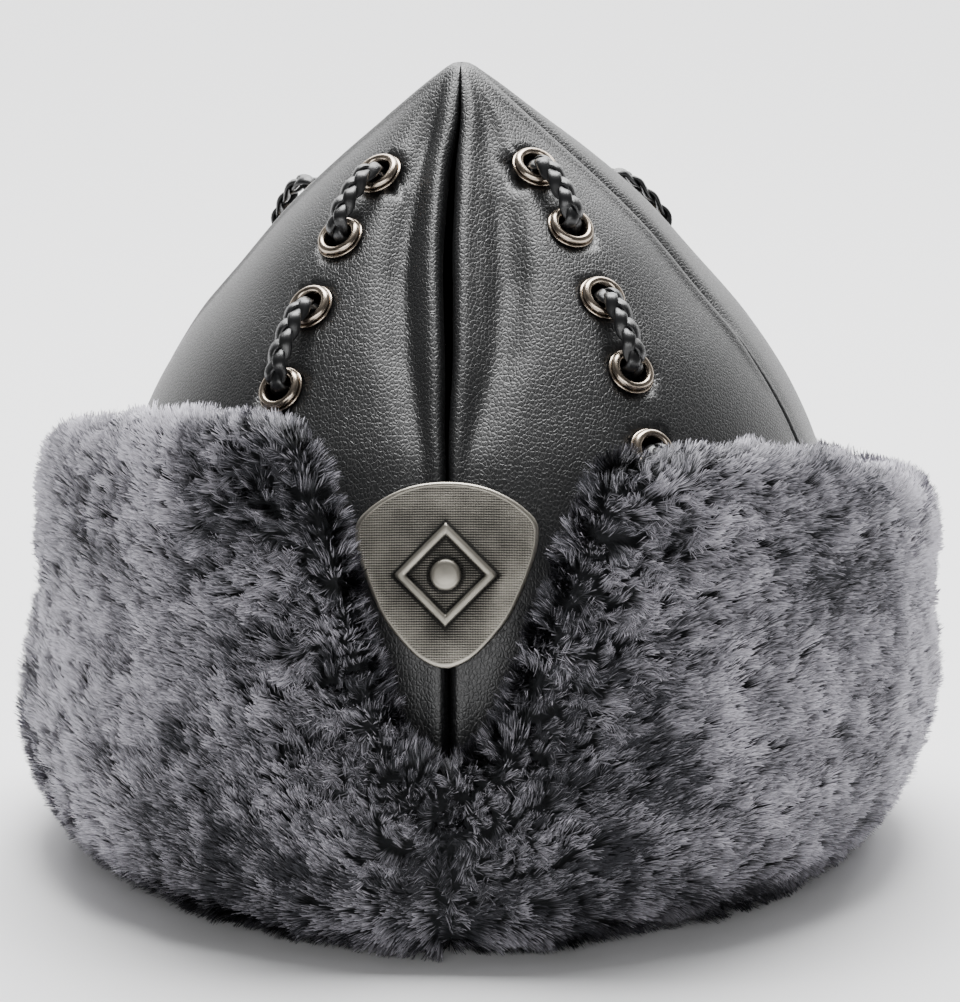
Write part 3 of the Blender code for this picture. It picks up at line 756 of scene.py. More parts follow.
def spin_profile(builder, profile, matrix):
    """Spins a closed profile of radius and height round the local Z axis."""
    verts = [builder.verts.new((radius * MM, 0.0, height * MM)) for radius, height in profile]
    edges = [builder.edges.new((a, b)) for a, b in zip(verts, verts[1:] + verts[:1])]
    before = set(builder.verts) - set(verts)
    bmesh.ops.spin(
        builder, geom=verts + edges, axis=(0, 0, 1), cent=(0, 0, 0), dvec=(0, 0, 0),
        angle=2 * math.pi, steps=EYELET_SIDES, use_merge=True)
    made = [vert for vert in builder.verts if vert not in before]
    bmesh.ops.transform(builder, matrix=matrix, verts=made)


def seat_matrix(seat):
    """Matrix that stands a piece on a seat of the crown, its Z out of the leather."""
    point, down, across, outward = (Vector(part) for part in seat)
    return Matrix.Translation(point) @ Matrix((down, across, outward)).transposed().to_4x4()


# %% Make the eyelets
for name, seat in EYELET_SEATS.items():
    builder = bmesh.new()
    for profile in (DOME_PROFILE, WASHER_PROFILE):
        spin_profile(builder, profile, seat_matrix(seat))
    bmesh.ops.recalc_face_normals(builder, faces=builder.faces)
    piece = object_of("turned_eyelet_" + name, builder, [nickel_plate])
    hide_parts("eyelet_" + name)
print(f"{len(EYELET_SEATS)} eyelets, {len(piece.data.polygons)} faces each")

# %% [markdown]
# ## Braided lacing
#
# The lace is a flat plait of three thongs, about 6 mm wide and 2.5 mm thick. Each thong swings to both
# edges and back in 16.5 mm, and goes over one neighbour and under the other, so its middle line is a
# sideways sine with a rise and fall at twice the rate. Every thong is a strip bent along that line,
# and the plait's own line goes in and out of the eyelets.

# %% The lace's middle line
FIRST_TUCK = ((-0.0068, -0.0070), (-0.0032, -0.0068), (0.0, -0.0040), (0.0, -0.0008))
LAST_TUCK = ((0.0, -0.0008), (0.0, -0.0040), (0.0040, -0.0068), (0.0090, -0.0070))
OUTER_STRETCH = ((0.00, 0.0020), (0.10, 0.0040), (0.27, 0.0049), (0.50, 0.0051), (0.73, 0.0049),
                 (0.90, 0.0040), (1.00, 0.0020), (1.00, -0.0008))
INNER_STRETCH = ((0.00, -0.0038), (0.12, -0.0064), (0.35, -0.0072), (0.65, -0.0072),
                 (0.88, -0.0064), (1.00, -0.0038), (1.00, -0.0008))
BACK_RISES = (1.42, 1.0, 0.85)
LACE_STEP = 0.62 * MM


def lace_route(row):
    """Points of a row's lace along the row and over the leather, each with the way across the row."""
    depths = row[3]
    places = [(depths[0] + past, height) for past, height in FIRST_TUCK]
    for index, (here, after) in enumerate(zip(depths, depths[1:])):
        stretch = OUTER_STRETCH if index % 2 == 0 else INNER_STRETCH
        rise = BACK_RISES[index] if row[0].startswith("back") else 1.0
        places += [(here + (after - here) * share, height * rise) for share, height in stretch]
    places += [(depths[-1] + past, height) for past, height in LAST_TUCK]
    depth, height = np.array(places).T
    point, _, across, outward = crown_frames(row_angles(row, depth), depth)
    return np.hstack([point + outward * height[:, None], across])


def between(a, b, c, d, share):
    """Points from b to c on the smooth curve through all four."""
    return 0.5 * (2 * b + (c - a) * share + (2 * a - 5 * b + 4 * c - d) * share**2
                  + (3 * b - a - 3 * c + d) * share**3)


def even_curve(points, step):
    """Evenly spaced points along a smooth open curve through the given ones."""
    padded = np.vstack([points[:1], points, points[-1:]])
    share = np.linspace(0, 1, 12, endpoint=False)[:, None]
    fine = [between(*four, share) for four in zip(padded, padded[1:], padded[2:], padded[3:])]
    fine = np.vstack(fine + [points[-1:]])
    walked = np.concatenate([[0], np.cumsum(np.linalg.norm(np.diff(fine[:, :3], axis=0), axis=1))])
    wanted = np.linspace(0, walked[-1], max(int(walked[-1] / step), 2))
    return np.stack([np.interp(wanted, walked, column) for column in fine.T], axis=1)


# %% Three thongs to a lace
PLAIT_PITCH = 16.5 * MM
PLAIT_HALF_WIDTH = 1.55 * MM
PLAIT_WEAVE = 0.66 * MM
THONG_WIDTH = 3.15 * MM
THONG_THICKNESS = 1.35 * MM
THONG_SIDES = 10
# How far a thong tilts at the lace's edges, and how square its section is (1 is an oval)
THONG_TILT, THONG_POWER = 0.55, 0.85


def thong(builder, path, across, number):
    """One flat thong of the plait, as a grid rolled into a strip along its winding path."""
    tangent = unit(np.gradient(path, axis=0))
    across = unit(across - tangent * np.sum(across * tangent, axis=1, keepdims=True))
    outward = np.cross(tangent, across)
    turn = 2 * np.pi * (np.arange(len(path)) * LACE_STEP / PLAIT_PITCH + number / 3)
    centre = (path + across * (PLAIT_HALF_WIDTH * np.sin(turn))[:, None]
              + outward * (PLAIT_WEAVE * np.sin(2 * turn))[:, None])
    along = unit(np.gradient(centre, axis=0))
    tilt = THONG_TILT * np.sin(turn)[:, None]
    lift = unit(outward + across * tilt)
    side = unit(np.cross(lift, along))
    lift = np.cross(along, side)
    grid, shares = share_grid(builder, THONG_SIDES, len(path) - 1)
    row = np.rint(shares[:, 1] * (len(path) - 1)).astype(int)
    round_angle = 2 * np.pi * shares[:, 0]
    wide = np.sign(np.cos(round_angle)) * np.abs(np.cos(round_angle)) ** THONG_POWER * THONG_WIDTH / 2
    thick = THONG_THICKNESS / 2 * np.sin(round_angle)
    for vert, point in zip(grid, centre[row] + side[row] * wide[:, None] + lift[row] * thick[:, None]):
        vert.co = point


# %% Make the laces
for row in LACED_ROWS:
    path = even_curve(lace_route(row), LACE_STEP)
    builder = bmesh.new()
    builder.loops.layers.uv.new("UVMap")
    for number in range(3):
        thong(builder, path[:, :3], path[:, 3:], number)
    bmesh.ops.remove_doubles(builder, verts=builder.verts, dist=0.004 * MM)
    ends = [edge for edge in builder.edges if edge.is_boundary]
    bmesh.ops.holes_fill(builder, edges=ends, sides=THONG_SIDES)
    bmesh.ops.recalc_face_normals(builder, faces=builder.faces)
    piece = object_of("braided_lace_" + row[0], builder, [braided_thong])
    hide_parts("lacing_" + row[0])
    length = (len(path) - 1) * LACE_STEP
    print(f"{piece.name}: {length / MM:.0f} mm long, {len(piece.data.polygons)} faces")

# %% [markdown]
# ## The badge
#
# The badge is a cast plate with three bowed sides, bent to the crown. Rings of its outline, one inside
# the other, give the back, the bevelled edge and the ribbed field, and a raised lozenge with a boss
# stands in the middle. The last rings are a lozenge and a circle instead of the outline.

# %% Badge rings
BADGE_HEIGHT = 41.6
BADGE_THICKNESS = 2.8
BADGE_CURVE = 74.0
BADGE_DEPTH = 0.103
BADGE_OUTLINE = (
    (0.000, 0.500), (0.125, 0.491), (0.239, 0.463), (0.354, 0.408), (0.440, 0.343), (0.480, 0.295),
    (0.492, 0.245), (0.488, 0.175), (0.466, 0.083), (0.410, -0.070), (0.328, -0.238), (0.201, -0.391),
    (0.104, -0.468), (0.000, -0.500),
)
FIELD = 0.72 * BADGE_THICKNESS
# A ridge's side from its foot up: height over the field, ribbed field, rubbed bright
RIDGE_ROWS = ((-0.16, 1, -0.25), (0.35, 0, 0.35), (0.72, 0, 0.75), (0.80, 0, 0.60))


def ridge_side(shape, *sizes):
    """Rings up one side of a ridge, from their sizes."""
    return [(shape, size, FIELD + rise, ribbed, rubbed)
            for size, (rise, ribbed, rubbed) in zip(sizes, RIDGE_ROWS)]


# Rings from the back to the front's middle: shape, size, height, ribbed field, rubbed bright
BADGE_RINGS = (
    ("outline", 0.03, 0.0, 0, 0.0),
    ("outline", 0.97, 0.0, 0, 0.0),
    ("outline", 1.00, 0.3, 0, 0.2),
    ("outline", 1.00, FIELD - 0.55, 0, 0.5),
    ("outline", 0.993, FIELD - 0.22, 0, 0.9),
    ("outline", 0.975, FIELD - 0.02, 0, 0.9),
    ("outline", 0.955, FIELD, 0, 0.62),
    ("outline", 0.945, FIELD - 0.06, 1, 0.38),
    ("outline", 0.87, FIELD - 0.06, 1, 0.36),
    ("outline", 0.75, FIELD - 0.08, 1, 0.30),
    ("lozenge", 12.9, FIELD - 0.10, 1, 0.14),
    *ridge_side("lozenge", 11.9, 11.6, 11.2, 10.7),
    *reversed(ridge_side("lozenge", 8.7, 9.0, 9.4, 9.9)),
    ("lozenge", 7.4, FIELD - 0.08, 1, 0.12),
    ("circle", 4.6, FIELD - 0.10, 1, 0.12),
    *ridge_side("circle", 3.7, 3.4, 3.0),
    ("circle", 2.2, FIELD + 0.90, 0, 0.60),
    ("circle", 0.1, FIELD + 0.98, 0, 0.50),
)


# %% Rings bent to the crown
def closed_curve(points, steps):
    """Points along a smooth closed curve through the given ones."""
    points = np.array(points, float)
    four = [np.roll(points, shift, axis=0) for shift in (1, 0, -1, -2)]
    rows = [between(*four, n / steps) for n in range(steps)]
    return np.stack(rows, axis=1).reshape(-1, points.shape[1])


def badge_outline():
    """The badge's outline as shares of its height, smooth all the way round."""
    left = [(-across, up) for across, up in reversed(BADGE_OUTLINE[1:-1])]
    return closed_curve(list(BADGE_OUTLINE) + left, 6)


def ring_points(outline, shape, size, height):
    """One ring of the badge, in mm before the plate is bent."""
    if shape == "lozenge":
        scale = size / np.abs(outline).sum(axis=1)
    elif shape == "circle":
        scale = size / np.linalg.norm(outline, axis=1)
    else:
        scale = np.full(len(outline), size * BADGE_HEIGHT)
    return np.column_stack([outline * scale[:, None], np.full(len(outline), height)])


def badge_seat():
    """Matrix from the badge's own mm to its place over the front seam, from the CAD badge's box."""
    top = crown_points(0.0, BADGE_DEPTH - BADGE_HEIGHT / 2 * MM)
    foot = crown_points(0.0, BADGE_DEPTH + BADGE_HEIGHT / 2 * MM)
    up = Vector(top - foot).normalized()
    outward = Vector((0.0, -up.z, up.y))
    turned = Matrix((up.cross(outward), up, outward)).transposed().to_4x4()
    centre = Vector(crown_points(0.0, BADGE_DEPTH))
    flat = Matrix.Translation(centre) @ turned
    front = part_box("badge")[0][1]
    stand = (centre.y - front) / -outward.y - BADGE_THICKNESS * MM
    return flat @ Matrix.Translation((0.0, 0.0, stand)) @ Matrix.Scale(MM, 4)


# %% Make the badge
outline = badge_outline()
seat = badge_seat()
builder = bmesh.new()
field_layer = builder.verts.layers.float.new("field")
rubbed_layer = builder.verts.layers.float.new("rubbed")
uv_layer = builder.loops.layers.uv.new("UVMap")
flat_places = {}
loops = []
for shape, size, height, ribbed, rubbed in BADGE_RINGS:
    verts = []
    for across, up, rise in ring_points(outline, shape, size, height):
        drop = BADGE_CURVE - math.sqrt(BADGE_CURVE**2 - across**2)
        vert = builder.verts.new(seat @ Vector((across, up, rise - drop)))
        vert[field_layer] = ribbed
        vert[rubbed_layer] = rubbed
        flat_places[vert] = (across, up)
        verts.append(vert)
    loops.append([builder.edges.new(pair) for pair in zip(verts, verts[1:] + verts[:1])])
for first, second in zip(loops, loops[1:]):
    bmesh.ops.bridge_loops(builder, edges=first + second)
for loop in (loops[0], loops[-1]):
    bmesh.ops.contextual_create(builder, geom=loop)
for face in builder.faces:
    for corner in face.loops:
        corner[uv_layer].uv = flat_places[corner.vert]
bmesh.ops.recalc_face_normals(builder, faces=builder.faces)
badge = object_of("cast_badge", builder, [darkened_nickel])
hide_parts("badge")
print(f"badge of {len(badge.data.polygons)} faces")

# %% [markdown]
# ## The fur cuff
#
# The cuff is cloth-backed fur, folded up round the foot of the crown. First its shape: a section
# carried round the head, with a rim that dips to the notch at the front. The same grid of points is
# the cloth that the hairs grow from and the guide for where they grow.

# %% Cuff tables
HEAD_LENGTH = 0.198
CUFF_WIDTH = 0.218
CUFF_LENGTH = 0.242
CUFF_SOLE = 0.0047
CUFF_LEAN = 0.055
CUFF_WAIST = 0.040
FLAT_SIDE, FLAT_HEIGHT, FLAT_REACH = 0.0022, 0.066, 0.030
# Cuff: angle, rim height left and right, rise of the lower outer edge left and right
RIM_ROWS = (
    (0.0, 0.045, 0.045, 0.0, 0.0),
    (3.0, 0.049, 0.048, 0.0, 0.0),
    (5.5, 0.055, 0.054, 0.0003, 0.0005),
    (8.2, 0.066, 0.066, 0.0006, 0.0012),
    (11.0, 0.08, 0.08, 0.001, 0.0022),
    (14.5, 0.1, 0.098, 0.0018, 0.0038),
    (19.0, 0.116, 0.112, 0.003, 0.0055),
    (25.0, 0.12, 0.113, 0.0048, 0.0092),
    (35.0, 0.119, 0.113, 0.0075, 0.0135),
    (50.0, 0.115, 0.109, 0.012, 0.02),
    (70.0, 0.106, 0.098, 0.015, 0.024),
    (90.0, 0.097, 0.09, 0.0155, 0.023),
    (115.0, 0.09, 0.083, 0.0125, 0.015),
    (145.0, 0.084, 0.081, 0.0095, 0.01),
    (180.0, 0.082, 0.082, 0.008, 0.008),
)
# Section: share from the crown's foot to the outer face, base height, share of the rim height,
# share of the edge's rise, share of the pile grown there
CUFF_SECTION = (
    (-0.12, 0.0, 0.0, 0.0, 0.0),
    (-0.12, CUFF_SOLE, 0.0, 0.0, 0.0),
    (0.05, CUFF_SOLE, 0.0, 0.0, 0.0),
    (0.13, 0.011, 0.0, 0.0, 0.0),
    (0.26, -0.002, 0.45, 0.0, 0.2),
    (0.36, -0.008, 0.92, 0.0, 0.8),
    (0.43, -0.0012, 1.0, 0.0, 1.0),
    (0.58, 0.0, 1.0, 0.0, 1.0),
    (0.78, -0.003, 1.0, 0.0, 1.0),
    (0.9, -0.01, 1.0, 0.0, 1.0),
    (0.94, -0.008, 0.88, 0.0, 1.0),
    (0.94, -0.001, 0.68, 0.2, 1.0),
    (0.97, 0.003, 0.46, 0.5, 1.0),
    (1.02, 0.0068, 0.24, 0.8, 1.0),
    (1.0, 0.0058, 0.06, 1.0, 1.0),
    (0.83, 0.002, 0.0, 0.8, 1.0),
    (0.57, 0.0006, 0.0, 0.4, 0.7),
)
SECTION_STEPS = 5
SKIN_SINK = 4.7 * MM


# %% Points of the cuff
def cuff_angles():
    """Angles round the cuff in degrees, close together at the notch."""
    half = np.concatenate([np.linspace(0, 30, 34, endpoint=False), np.linspace(30, 180, 64)])
    return np.concatenate([-half[1:-1][::-1], half])


def cuff_shape():
    """The cuff's surface as a grid of points, angle by section, and the pile's share there."""
    angle = cuff_angles()
    section = closed_curve(CUFF_SECTION, SECTION_STEPS)
    side = np.abs(angle)
    rim, rise = [
        np.where(angle < 0, *[smooth_value(RIM_ROWS, side, column) for column in columns])
        for columns in ((1, 2), (3, 4))]
    share, base, rim_share, rise_share, pile = (section[None, :, i] for i in range(5))
    height = np.maximum(base + rim_share * rim[:, None] + rise_share * rise[:, None], 0.0)
    turn = np.radians(angle)[:, None]
    foot_x, foot_y = HEAD_WIDTH / 2 * np.sin(turn), -HEAD_LENGTH / 2 * np.cos(turn)
    face_x, face_y = CUFF_WIDTH / 2 * np.sin(turn), -CUFF_LENGTH / 2 * np.cos(turn)
    face_x = face_x + CUFF_LEAN * (height - CUFF_WAIST) * clamped(rim_share * 4)
    flat_side = hill(height, FLAT_HEIGHT, FLAT_REACH) * clamped(-np.sin(turn))
    face_x = face_x + FLAT_SIDE * flat_side
    x = foot_x + (face_x - foot_x) * share
    y = foot_y + (face_y - foot_y) * share
    return np.stack([x, y, height], axis=-1), np.broadcast_to(clamped(pile), height.shape)


def grid_frames(points):
    """Ways round and along a closed grid of points, and out of it."""
    around = unit(np.roll(points, -1, axis=0) - np.roll(points, 1, axis=0))
    along = unit(np.roll(points, -1, axis=1) - np.roll(points, 1, axis=1))
    return around, along, unit(np.cross(along, around))


shape, pile = cuff_shape()
around, along, outward = grid_frames(shape)
skin = shape - outward * (SKIN_SINK * clamped(pile * 1.5))[:, :, None]
print(f"cuff grid {shape.shape[0]} x {shape.shape[1]}")

# %% Cloth under the fur
builder = bmesh.new()
grid, shares = share_grid(builder, *skin.shape[:2])
columns, rows = (np.rint(shares * skin.shape[:2]).astype(int) % skin.shape[:2]).T
for vert, point in zip(grid, skin[columns, rows]):
    vert.co = point
bmesh.ops.remove_doubles(builder, verts=builder.verts, dist=0.01 * MM)
bmesh.ops.recalc_face_normals(builder, faces=builder.faces)
if builder.calc_volume(signed=True) < 0:
    bmesh.ops.reverse_faces(builder, faces=builder.faces)
cloth = object_of("cuff_cloth", builder, [fur_cloth])
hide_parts("fur_cuff")
print(f"cuff cloth of {len(cloth.data.polygons)} faces")

# %% [markdown]
# The pile itself is hundreds of thousands of hairs, far too many for one operator each, so their
# points are worked out together in arrays and joined into a few meshes. A hair of the brushed pile is
# one narrow wedge, a point at the root and a slanted end, because fine fibres spread at the tip. A
# hair by the notch or on the rim is a leaf of two triangles, so that it can bend and end in a point.
# The pile is brushed up and away from the front seam. Along the notch it stands up in dark curls.

# %% Grain of the pile
FUR_SEED = 11
BRUSHED_HAIRS, CURLED_HAIRS = 570000, 82000
TUFT_COUNT = 15000
HAIR_LENGTH = 6.9 * MM
# The shortest hair, and how much longer the longest is, as shares of that length
SHORTEST, LENGTH_SPREAD = 0.80, 0.36
BRUSHED_WIDTH, CURLED_WIDTH = 0.27 * MM, 0.26 * MM
WIDEST = 0.62
BODY_LEAN, EDGE_LEAN = 50.0, 28.0
EDGE_REACH = 25.0 * MM
NAP_LEFT, NAP_RIGHT, NAP_MIDDLE, NAP_BACK = 138.0, 114.0, 88.0, 172.0
# Degrees from the front where the side's nap is reached and where the back's begins, and its reach
NAP_TURNED, BACK_BEGINS, BACK_REACH = 24.0, 62.0, 40.0
# At the cuff's foot the nap turns down again: degrees, height where that begins, its reach
FOOT_TURN, FOOT_TOP, FOOT_REACH = 45.0, 14 * MM, 12 * MM
# Painted shade, the pile darker towards the cuff's foot: change in frost, height where it begins, its
# reach
PAINTED_FOOT_SHADE, SHADE_TOP, SHADE_REACH = 0.10, 26 * MM, 20 * MM
# Creases where the pile parts: angle, lowest and highest place, strength
PARTINGS = ((0.5, 0.0, 0.050, 1.0), (63.0, 0.030, 0.072, 0.7), (-72.0, 0.020, 0.080, 0.35))
PARTING_WIDTH, PARTING_SWING, PARTING_WAVE, PARTING_FADE = 1.6 * MM, 2.2 * MM, 9 * MM, 6 * MM
# How frosted the pile is round the cuff: angle, frost. The paler sides are partly painted light,
# the light that the sides catch from the paper behind and the boxes beside them.
FROST_AND_SIDE_LIGHT_ROWS = (
    (-180, 0.66), (-70, 0.74), (-55, 0.72), (-45, 0.60), (-38, 0.42), (-24, 0.20), (0, 0.27),
    (20, 0.29), (30, 0.38), (52, 0.37), (62, 0.52), (75, 0.84), (100, 0.76), (180, 0.66))
# Clouds in the frost: angle, height, half-width in degrees, half-height, change
CLOUDS = (
    (-36, 0.019, 11, 0.010, -0.26), (-47, 0.106, 11, 0.015, 0.10), (-46, 0.055, 7, 0.014, 0.12),
    (-24, 0.026, 5, 0.007, 0.18), (28, 0.050, 6, 0.009, -0.18), (32, 0.020, 9, 0.010, -0.22),
    (40, 0.049, 8, 0.013, 0.24), (51, 0.077, 9, 0.017, -0.12), (-36, 0.108, 9, 0.012, 0.24),
    (-29, 0.086, 5, 0.012, -0.12))
# Waves of disorder in the pile: length in mm, which noise, shift, swing
TURN_WAVES = ((30, 0, 0.0, 0.9), (9, 1, 0.0, 0.8), (4, 1, 13.0, 1.1))
EDGE_WAVES = ((4, 0, 31.0, 5.0),)
LEAN_WAVES = ((6, 0, 7.0, 30.0), (3, 1, 19.0, 26.0))
LENGTH_WAVES = ((13, 1, 17.0, 0.20),)
FROST_WAVES = ((20, 1, 3.0, 0.45), (8, 0, 9.0, 0.60), (3.5, 1, 23.0, 0.60))
# A curl's two parts lean this share less and more
CURL_BEND = 0.42
# Lowest that a hair's middle and tip come
MIDDLE_FLOOR, TIP_FLOOR = 0.4 * MM, 0.3 * MM
LATTICE_SIZE = 24
chance = np.random.default_rng(FUR_SEED)
LATTICE = chance.random((LATTICE_SIZE, LATTICE_SIZE, LATTICE_SIZE, 2))


# %% Noise, places and nap
def wander_at(points, scale, channel, shift=0.0):
    """Smooth random values from 0 to 1 over space, about one wave to each scale."""
    place = points / scale + 1000.0 + shift
    low = np.floor(place).astype(int)
    share = place - low
    share = share * share * (3 - 2 * share)
    total = np.zeros(len(points))
    for corner in np.ndindex(2, 2, 2):
        index = (low + corner) % LATTICE_SIZE
        weight = np.prod(np.where(np.array(corner), share, 1 - share), axis=1)
        total += weight * LATTICE[index[:, 0], index[:, 1], index[:, 2], channel]
    return total


def waved(points, waves):
    """The sum of some waves over space, each as much above zero as below it."""
    return sum((wander_at(points, length * MM, noise, shift) - 0.5) * swing
               for length, noise, shift, swing in waves)


def on_grid(values, column, row):
    """Values of a closed grid at fractional columns and rows."""
    c0, r0 = np.floor(column).astype(int), np.floor(row).astype(int)
    a, b = column - c0, row - r0
    c1, r1 = (c0 + 1) % values.shape[0], (r0 + 1) % values.shape[1]
    c0, r0 = c0 % values.shape[0], r0 % values.shape[1]
    if values.ndim == 3:
        a, b = a[:, None], b[:, None]
    return ((values[c0, r0] * (1 - a) + values[c1, r0] * a) * (1 - b)
            + (values[c0, r1] * (1 - a) + values[c1, r1] * a) * b)


def scattered(count, share):
    """Random places on the grid, even over the cloth's area where the share is the same."""
    right = np.roll(skin, -1, axis=0) - skin
    down = np.roll(skin, -1, axis=1) - skin
    area = np.linalg.norm(np.cross(right, down), axis=2) * pile * share
    shares = np.cumsum(area.ravel()) / area.sum()
    cell = np.searchsorted(shares, chance.random(count))
    column, row = np.divmod(cell, skin.shape[1])
    return column + chance.random(count), row + chance.random(count)


def tree_of(points):
    """A search tree that finds the nearest of these points."""
    tree = kdtree.KDTree(len(points))
    for number, point in enumerate(points):
        tree.insert(point, number)
    tree.balance()
    return tree


def degrees_round(points):
    """Angle of each point from the front, positive towards +X."""
    return np.degrees(np.arctan2(points[:, 0] / CUFF_WIDTH, -points[:, 1] / CUFF_LENGTH))


def nap_at(degrees, height):
    """Which way the pile is brushed, in radians from straight down, positive towards +X."""
    side, away = np.sign(degrees), np.abs(degrees)
    brushed = np.where(side < 0, NAP_LEFT, NAP_RIGHT)
    turned = NAP_MIDDLE + (brushed - NAP_MIDDLE) * clamped(away / NAP_TURNED)
    turned += (NAP_BACK - turned) * clamped((away - BACK_BEGINS) / BACK_REACH)
    low = clamped((FOOT_TOP - height) / FOOT_REACH)
    return np.radians(side * (turned - FOOT_TURN * low * clamped(1.2 - away / 30.0)))


# %% Where the pile stands up
RIM_SECTION = 9.3
# Degrees from the front where the curls of the notch end, and over how many they thin out
NOTCH_END, NOTCH_FADE = 40.0, 18.0
# How far the pile stands up on top of the rim, and beside it away from the notch
TOP_SHARE, SIDE_SHARE = 0.50, 0.20
# How far up a hair stands where curls begin, and how much further they take over
CURL_BEGINS, CURL_REACH = 0.30, 0.35
rim_line = shape[:, int(RIM_SECTION * SECTION_STEPS)]
tree_of_rim = tree_of(rim_line)
found = [tree_of_rim.find(point) for point in skin.reshape(-1, 3)]
rim_distance = np.array([hit[2] for hit in found]).reshape(pile.shape)
rim_degrees = np.abs(degrees_round(rim_line))[[hit[1] for hit in found]].reshape(pile.shape)
on_top = clamped((outward[:, :, 2] - 0.2) / 0.5)
by_notch = clamped((NOTCH_END - rim_degrees) / NOTCH_FADE)
edge_grid = clamped(1.25 - rim_distance / EDGE_REACH) * (SIDE_SHARE + (1 - SIDE_SHARE) * by_notch)
edge_grid = np.maximum(edge_grid, TOP_SHARE * on_top)
curl_share = clamped((edge_grid - CURL_BEGINS) / CURL_REACH)
tuft_roots = on_grid(skin, *scattered(TUFT_COUNT, 1.0))
tree_of_tufts = tree_of(tuft_roots)
tuft_turn, tuft_lift, tuft_frost = (chance.random((3, len(tuft_roots))) - 0.5)
print(f"{np.mean(edge_grid > 0.5):.0%} of the pile stands up, {len(tuft_roots)} tufts")


# %% Grow the pile
def frost_with_painted_light(degrees, height):
    """How frosted the pile is at an angle and height, clouds included, with painted shade at the foot
    and painted light on the sides.
    """
    rows = np.array(FROST_AND_SIDE_LIGHT_ROWS)
    frost_and_painted_light = np.interp(degrees, rows[:, 0], rows[:, 1])
    # Painted shade: the pile is darker towards the cuff's foot.
    frost_and_painted_light -= PAINTED_FOOT_SHADE * clamped((SHADE_TOP - height) / SHADE_REACH)
    for angle, middle, wide, tall, change in CLOUDS:
        frost_and_painted_light += change * hill(degrees, angle, wide) * hill(height, middle, tall)
    return frost_and_painted_light


def parted(root, degrees):
    """How close each hair is to a crease, and which way the crease pushes it."""
    part, push = np.zeros(len(root)), np.zeros(len(root))
    for angle, low, high, strength in PARTINGS:
        wave = PARTING_SWING * np.sin(root[:, 2] / PARTING_WAVE)
        beside = np.radians(degrees - angle) * CUFF_WIDTH / 2 - wave
        near = np.exp(-((beside / PARTING_WIDTH) ** 2)) * strength
        near *= clamped((root[:, 2] - low) / PARTING_FADE + 0.5)
        near *= clamped((high - root[:, 2]) / PARTING_FADE + 0.5)
        part = np.maximum(part, near)
        push += near * np.sign(beside)
    return part, push


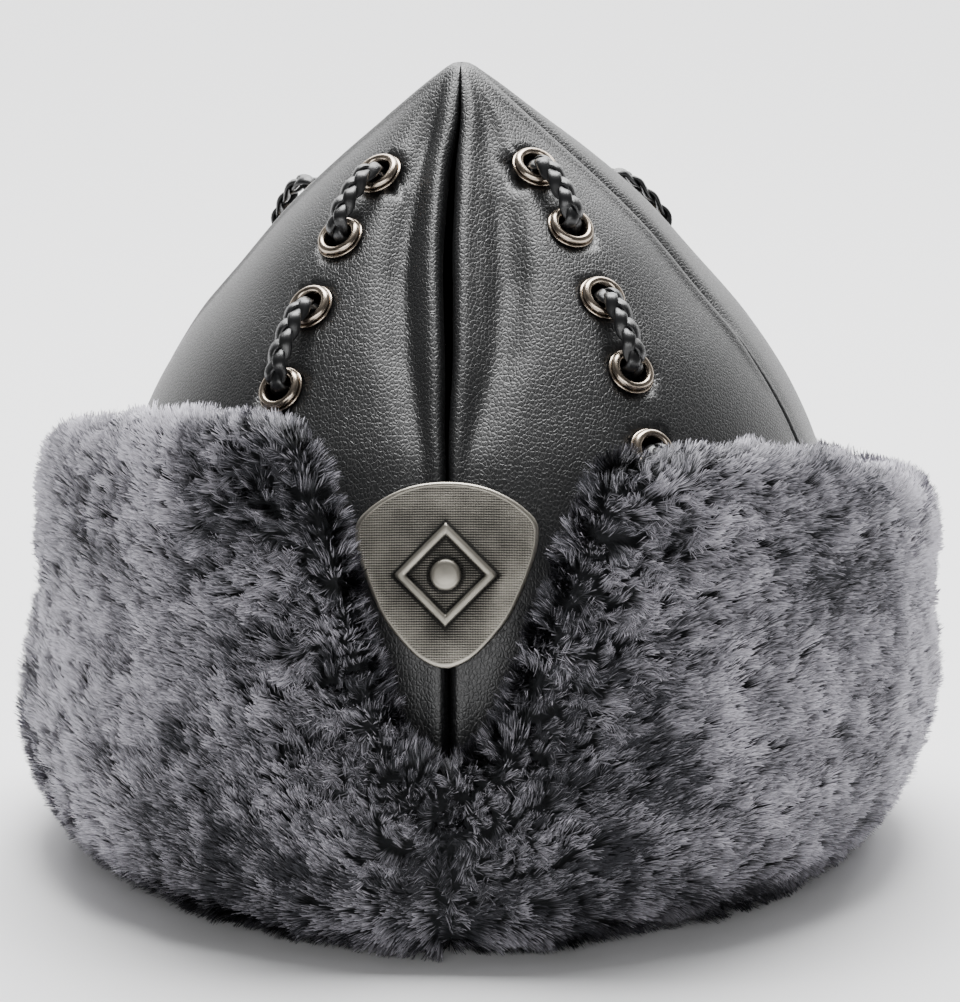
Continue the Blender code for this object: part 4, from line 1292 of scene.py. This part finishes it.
def grown(count, share, curled):
    """Hairs of one kind: angle, root, middle, tip, surface way, blade across and frost of each, with
    painted shade and light in the frost.
    """
    column, row = scattered(count, share)
    root, edge, notch = [on_grid(values, column, row) for values in (skin, edge_grid, by_notch)]
    normal, way_around, way_down = [
        unit(on_grid(values, column, row)) for values in (outward, around, along)]
    degrees = degrees_round(root)
    part, push = parted(root, degrees)
    tuft = np.array([tree_of_tufts.find(point)[1] for point in root])
    luck = chance.random((6, count))
    grain = nap_at(degrees, root[:, 2])
    grain += waved(root, TURN_WAVES) + edge * waved(root, EDGE_WAVES)
    grain += tuft_turn[tuft] * (0.7 + 1.5 * edge) + (luck[2] - 0.5) * 0.5
    lean = np.radians(BODY_LEAN + (EDGE_LEAN - BODY_LEAN) * edge + waved(root, LEAN_WAVES))
    lean += tuft_lift[tuft] * (0.30 + 0.55 * edge) + (luck[0] - 0.5) * 0.24
    flow = np.cos(grain)[:, None] * way_down + np.sin(grain)[:, None] * way_around
    flow = unit(flow + way_around * (1.6 * push)[:, None])
    length = HAIR_LENGTH * (SHORTEST + LENGTH_SPREAD * luck[1]) * (1.0 - 0.10 * edge - 0.30 * part)
    length *= 1.0 + waved(root, LENGTH_WAVES) - 0.22 * clamped(-normal[:, 2])
    bend = CURL_BEND if curled else 0.0
    first, second = [
        unit(normal * np.cos(lean * share)[:, None] + flow * np.sin(lean * share)[:, None])
        for share in (1 - bend, 1 + bend)]
    middle = root + first * (length * WIDEST)[:, None]
    tip = middle + second * (length * (1 - WIDEST))[:, None]
    gather = 0.08 + 0.30 * wander_at(root, 7 * MM, 1, 5.0) ** 2 + 0.30 * edge + 0.12 * luck[2]
    toward = (tuft_roots[tuft] - root) * gather[:, None]
    middle += toward * 0.50
    tip += toward
    middle[:, 2] = np.maximum(middle[:, 2], MIDDLE_FLOOR)
    tip[:, 2] = np.maximum(tip[:, 2], TIP_FLOOR)
    blade = unit(np.cross(second, normal)) + normal * ((luck[3] - 0.5) * 0.9)[:, None]
    blade = unit(blade) * (CURLED_WIDTH if curled else BRUSHED_WIDTH) / 2
    frost_and_painted_light = frost_with_painted_light(degrees, root[:, 2]) + waved(root, FROST_WAVES)
    # Tufts differ at random; near a crease the tips are darker, painted shade in the crease.
    frost_and_painted_light += 0.25 * tuft_frost[tuft] - 0.25 * part + 0.45 * (luck[5] - 0.5)
    frost_and_painted_light += np.where(luck[4] < 0.34, 0.22, -0.28) * notch * edge
    soft = unit(normal + 0.45 * second + 0.40 * (chance.random((count, 3)) - 0.5))
    return degrees, root, middle, tip, soft, blade, np.clip(frost_and_painted_light, 0.02, 1.0)


# %% Hairs to meshes
PARTS = ("back_left", "front_left", "front_right", "back_right")
# Where the slanted end of a hair starts, as a share of the hair
SHORT_SIDE = 0.93


def hair_mesh(name, points, along_hair, corners, frost_and_painted_light, soft):
    """One mesh of many hairs, each with the same few points and triangles."""
    count, each = points.shape[:2]
    mesh = bpy.data.meshes.new(name)
    mesh.vertices.add(count * each)
    mesh.vertices.foreach_set("co", points.astype(np.float32).ravel())
    faces = (np.arange(count)[:, None] * each + np.array(corners)).ravel()
    mesh.loops.add(len(faces))
    mesh.loops.foreach_set("vertex_index", faces.astype(np.int32))
    mesh.polygons.add(len(faces) // 3)
    mesh.polygons.foreach_set("loop_start", np.arange(0, len(faces), 3, dtype=np.int32))
    strand = np.ones((count, each, 4), np.float32)
    strand[:, :, 0] = along_hair
    strand[:, :, 1] = frost_and_painted_light[:, None]
    layer = mesh.attributes.new("strand", "FLOAT_COLOR", "POINT")
    layer.data.foreach_set("color", strand.ravel())
    mesh.update(calc_edges=True)
    mesh.shade_smooth()
    mesh.normals_split_custom_set_from_vertices(np.repeat(soft, each, axis=0))
    piece_of(mesh, [frosted_fur])
    print(f"{name}: {count} hairs, {len(mesh.polygons)} faces")


# %% Make the pile
degrees, root, middle, tip, soft, blade, frost_and_painted_light = grown(BRUSHED_HAIRS, 1.0 - 0.88 * curl_share, False)
shorter = root + (tip - root) * SHORT_SIDE
points = np.stack([root, tip + blade, shorter - blade], axis=1)
order = np.argsort(degrees, kind="stable")
for part_name, chosen in zip(PARTS, np.array_split(order, len(PARTS))):
    hair_mesh("fur_pile_" + part_name, points[chosen], (0.0, 1.0, SHORT_SIDE), (0, 1, 2),
              frost_and_painted_light[chosen], soft[chosen])
degrees, root, middle, tip, soft, blade, frost_and_painted_light = grown(CURLED_HAIRS, curl_share, True)
points = np.stack([root, middle + blade, middle - blade, tip], axis=1)
hair_mesh("fur_curls", points, (0.0, WIDEST, WIDEST, 1.0), (0, 1, 2, 2, 1, 3), frost_and_painted_light, soft)
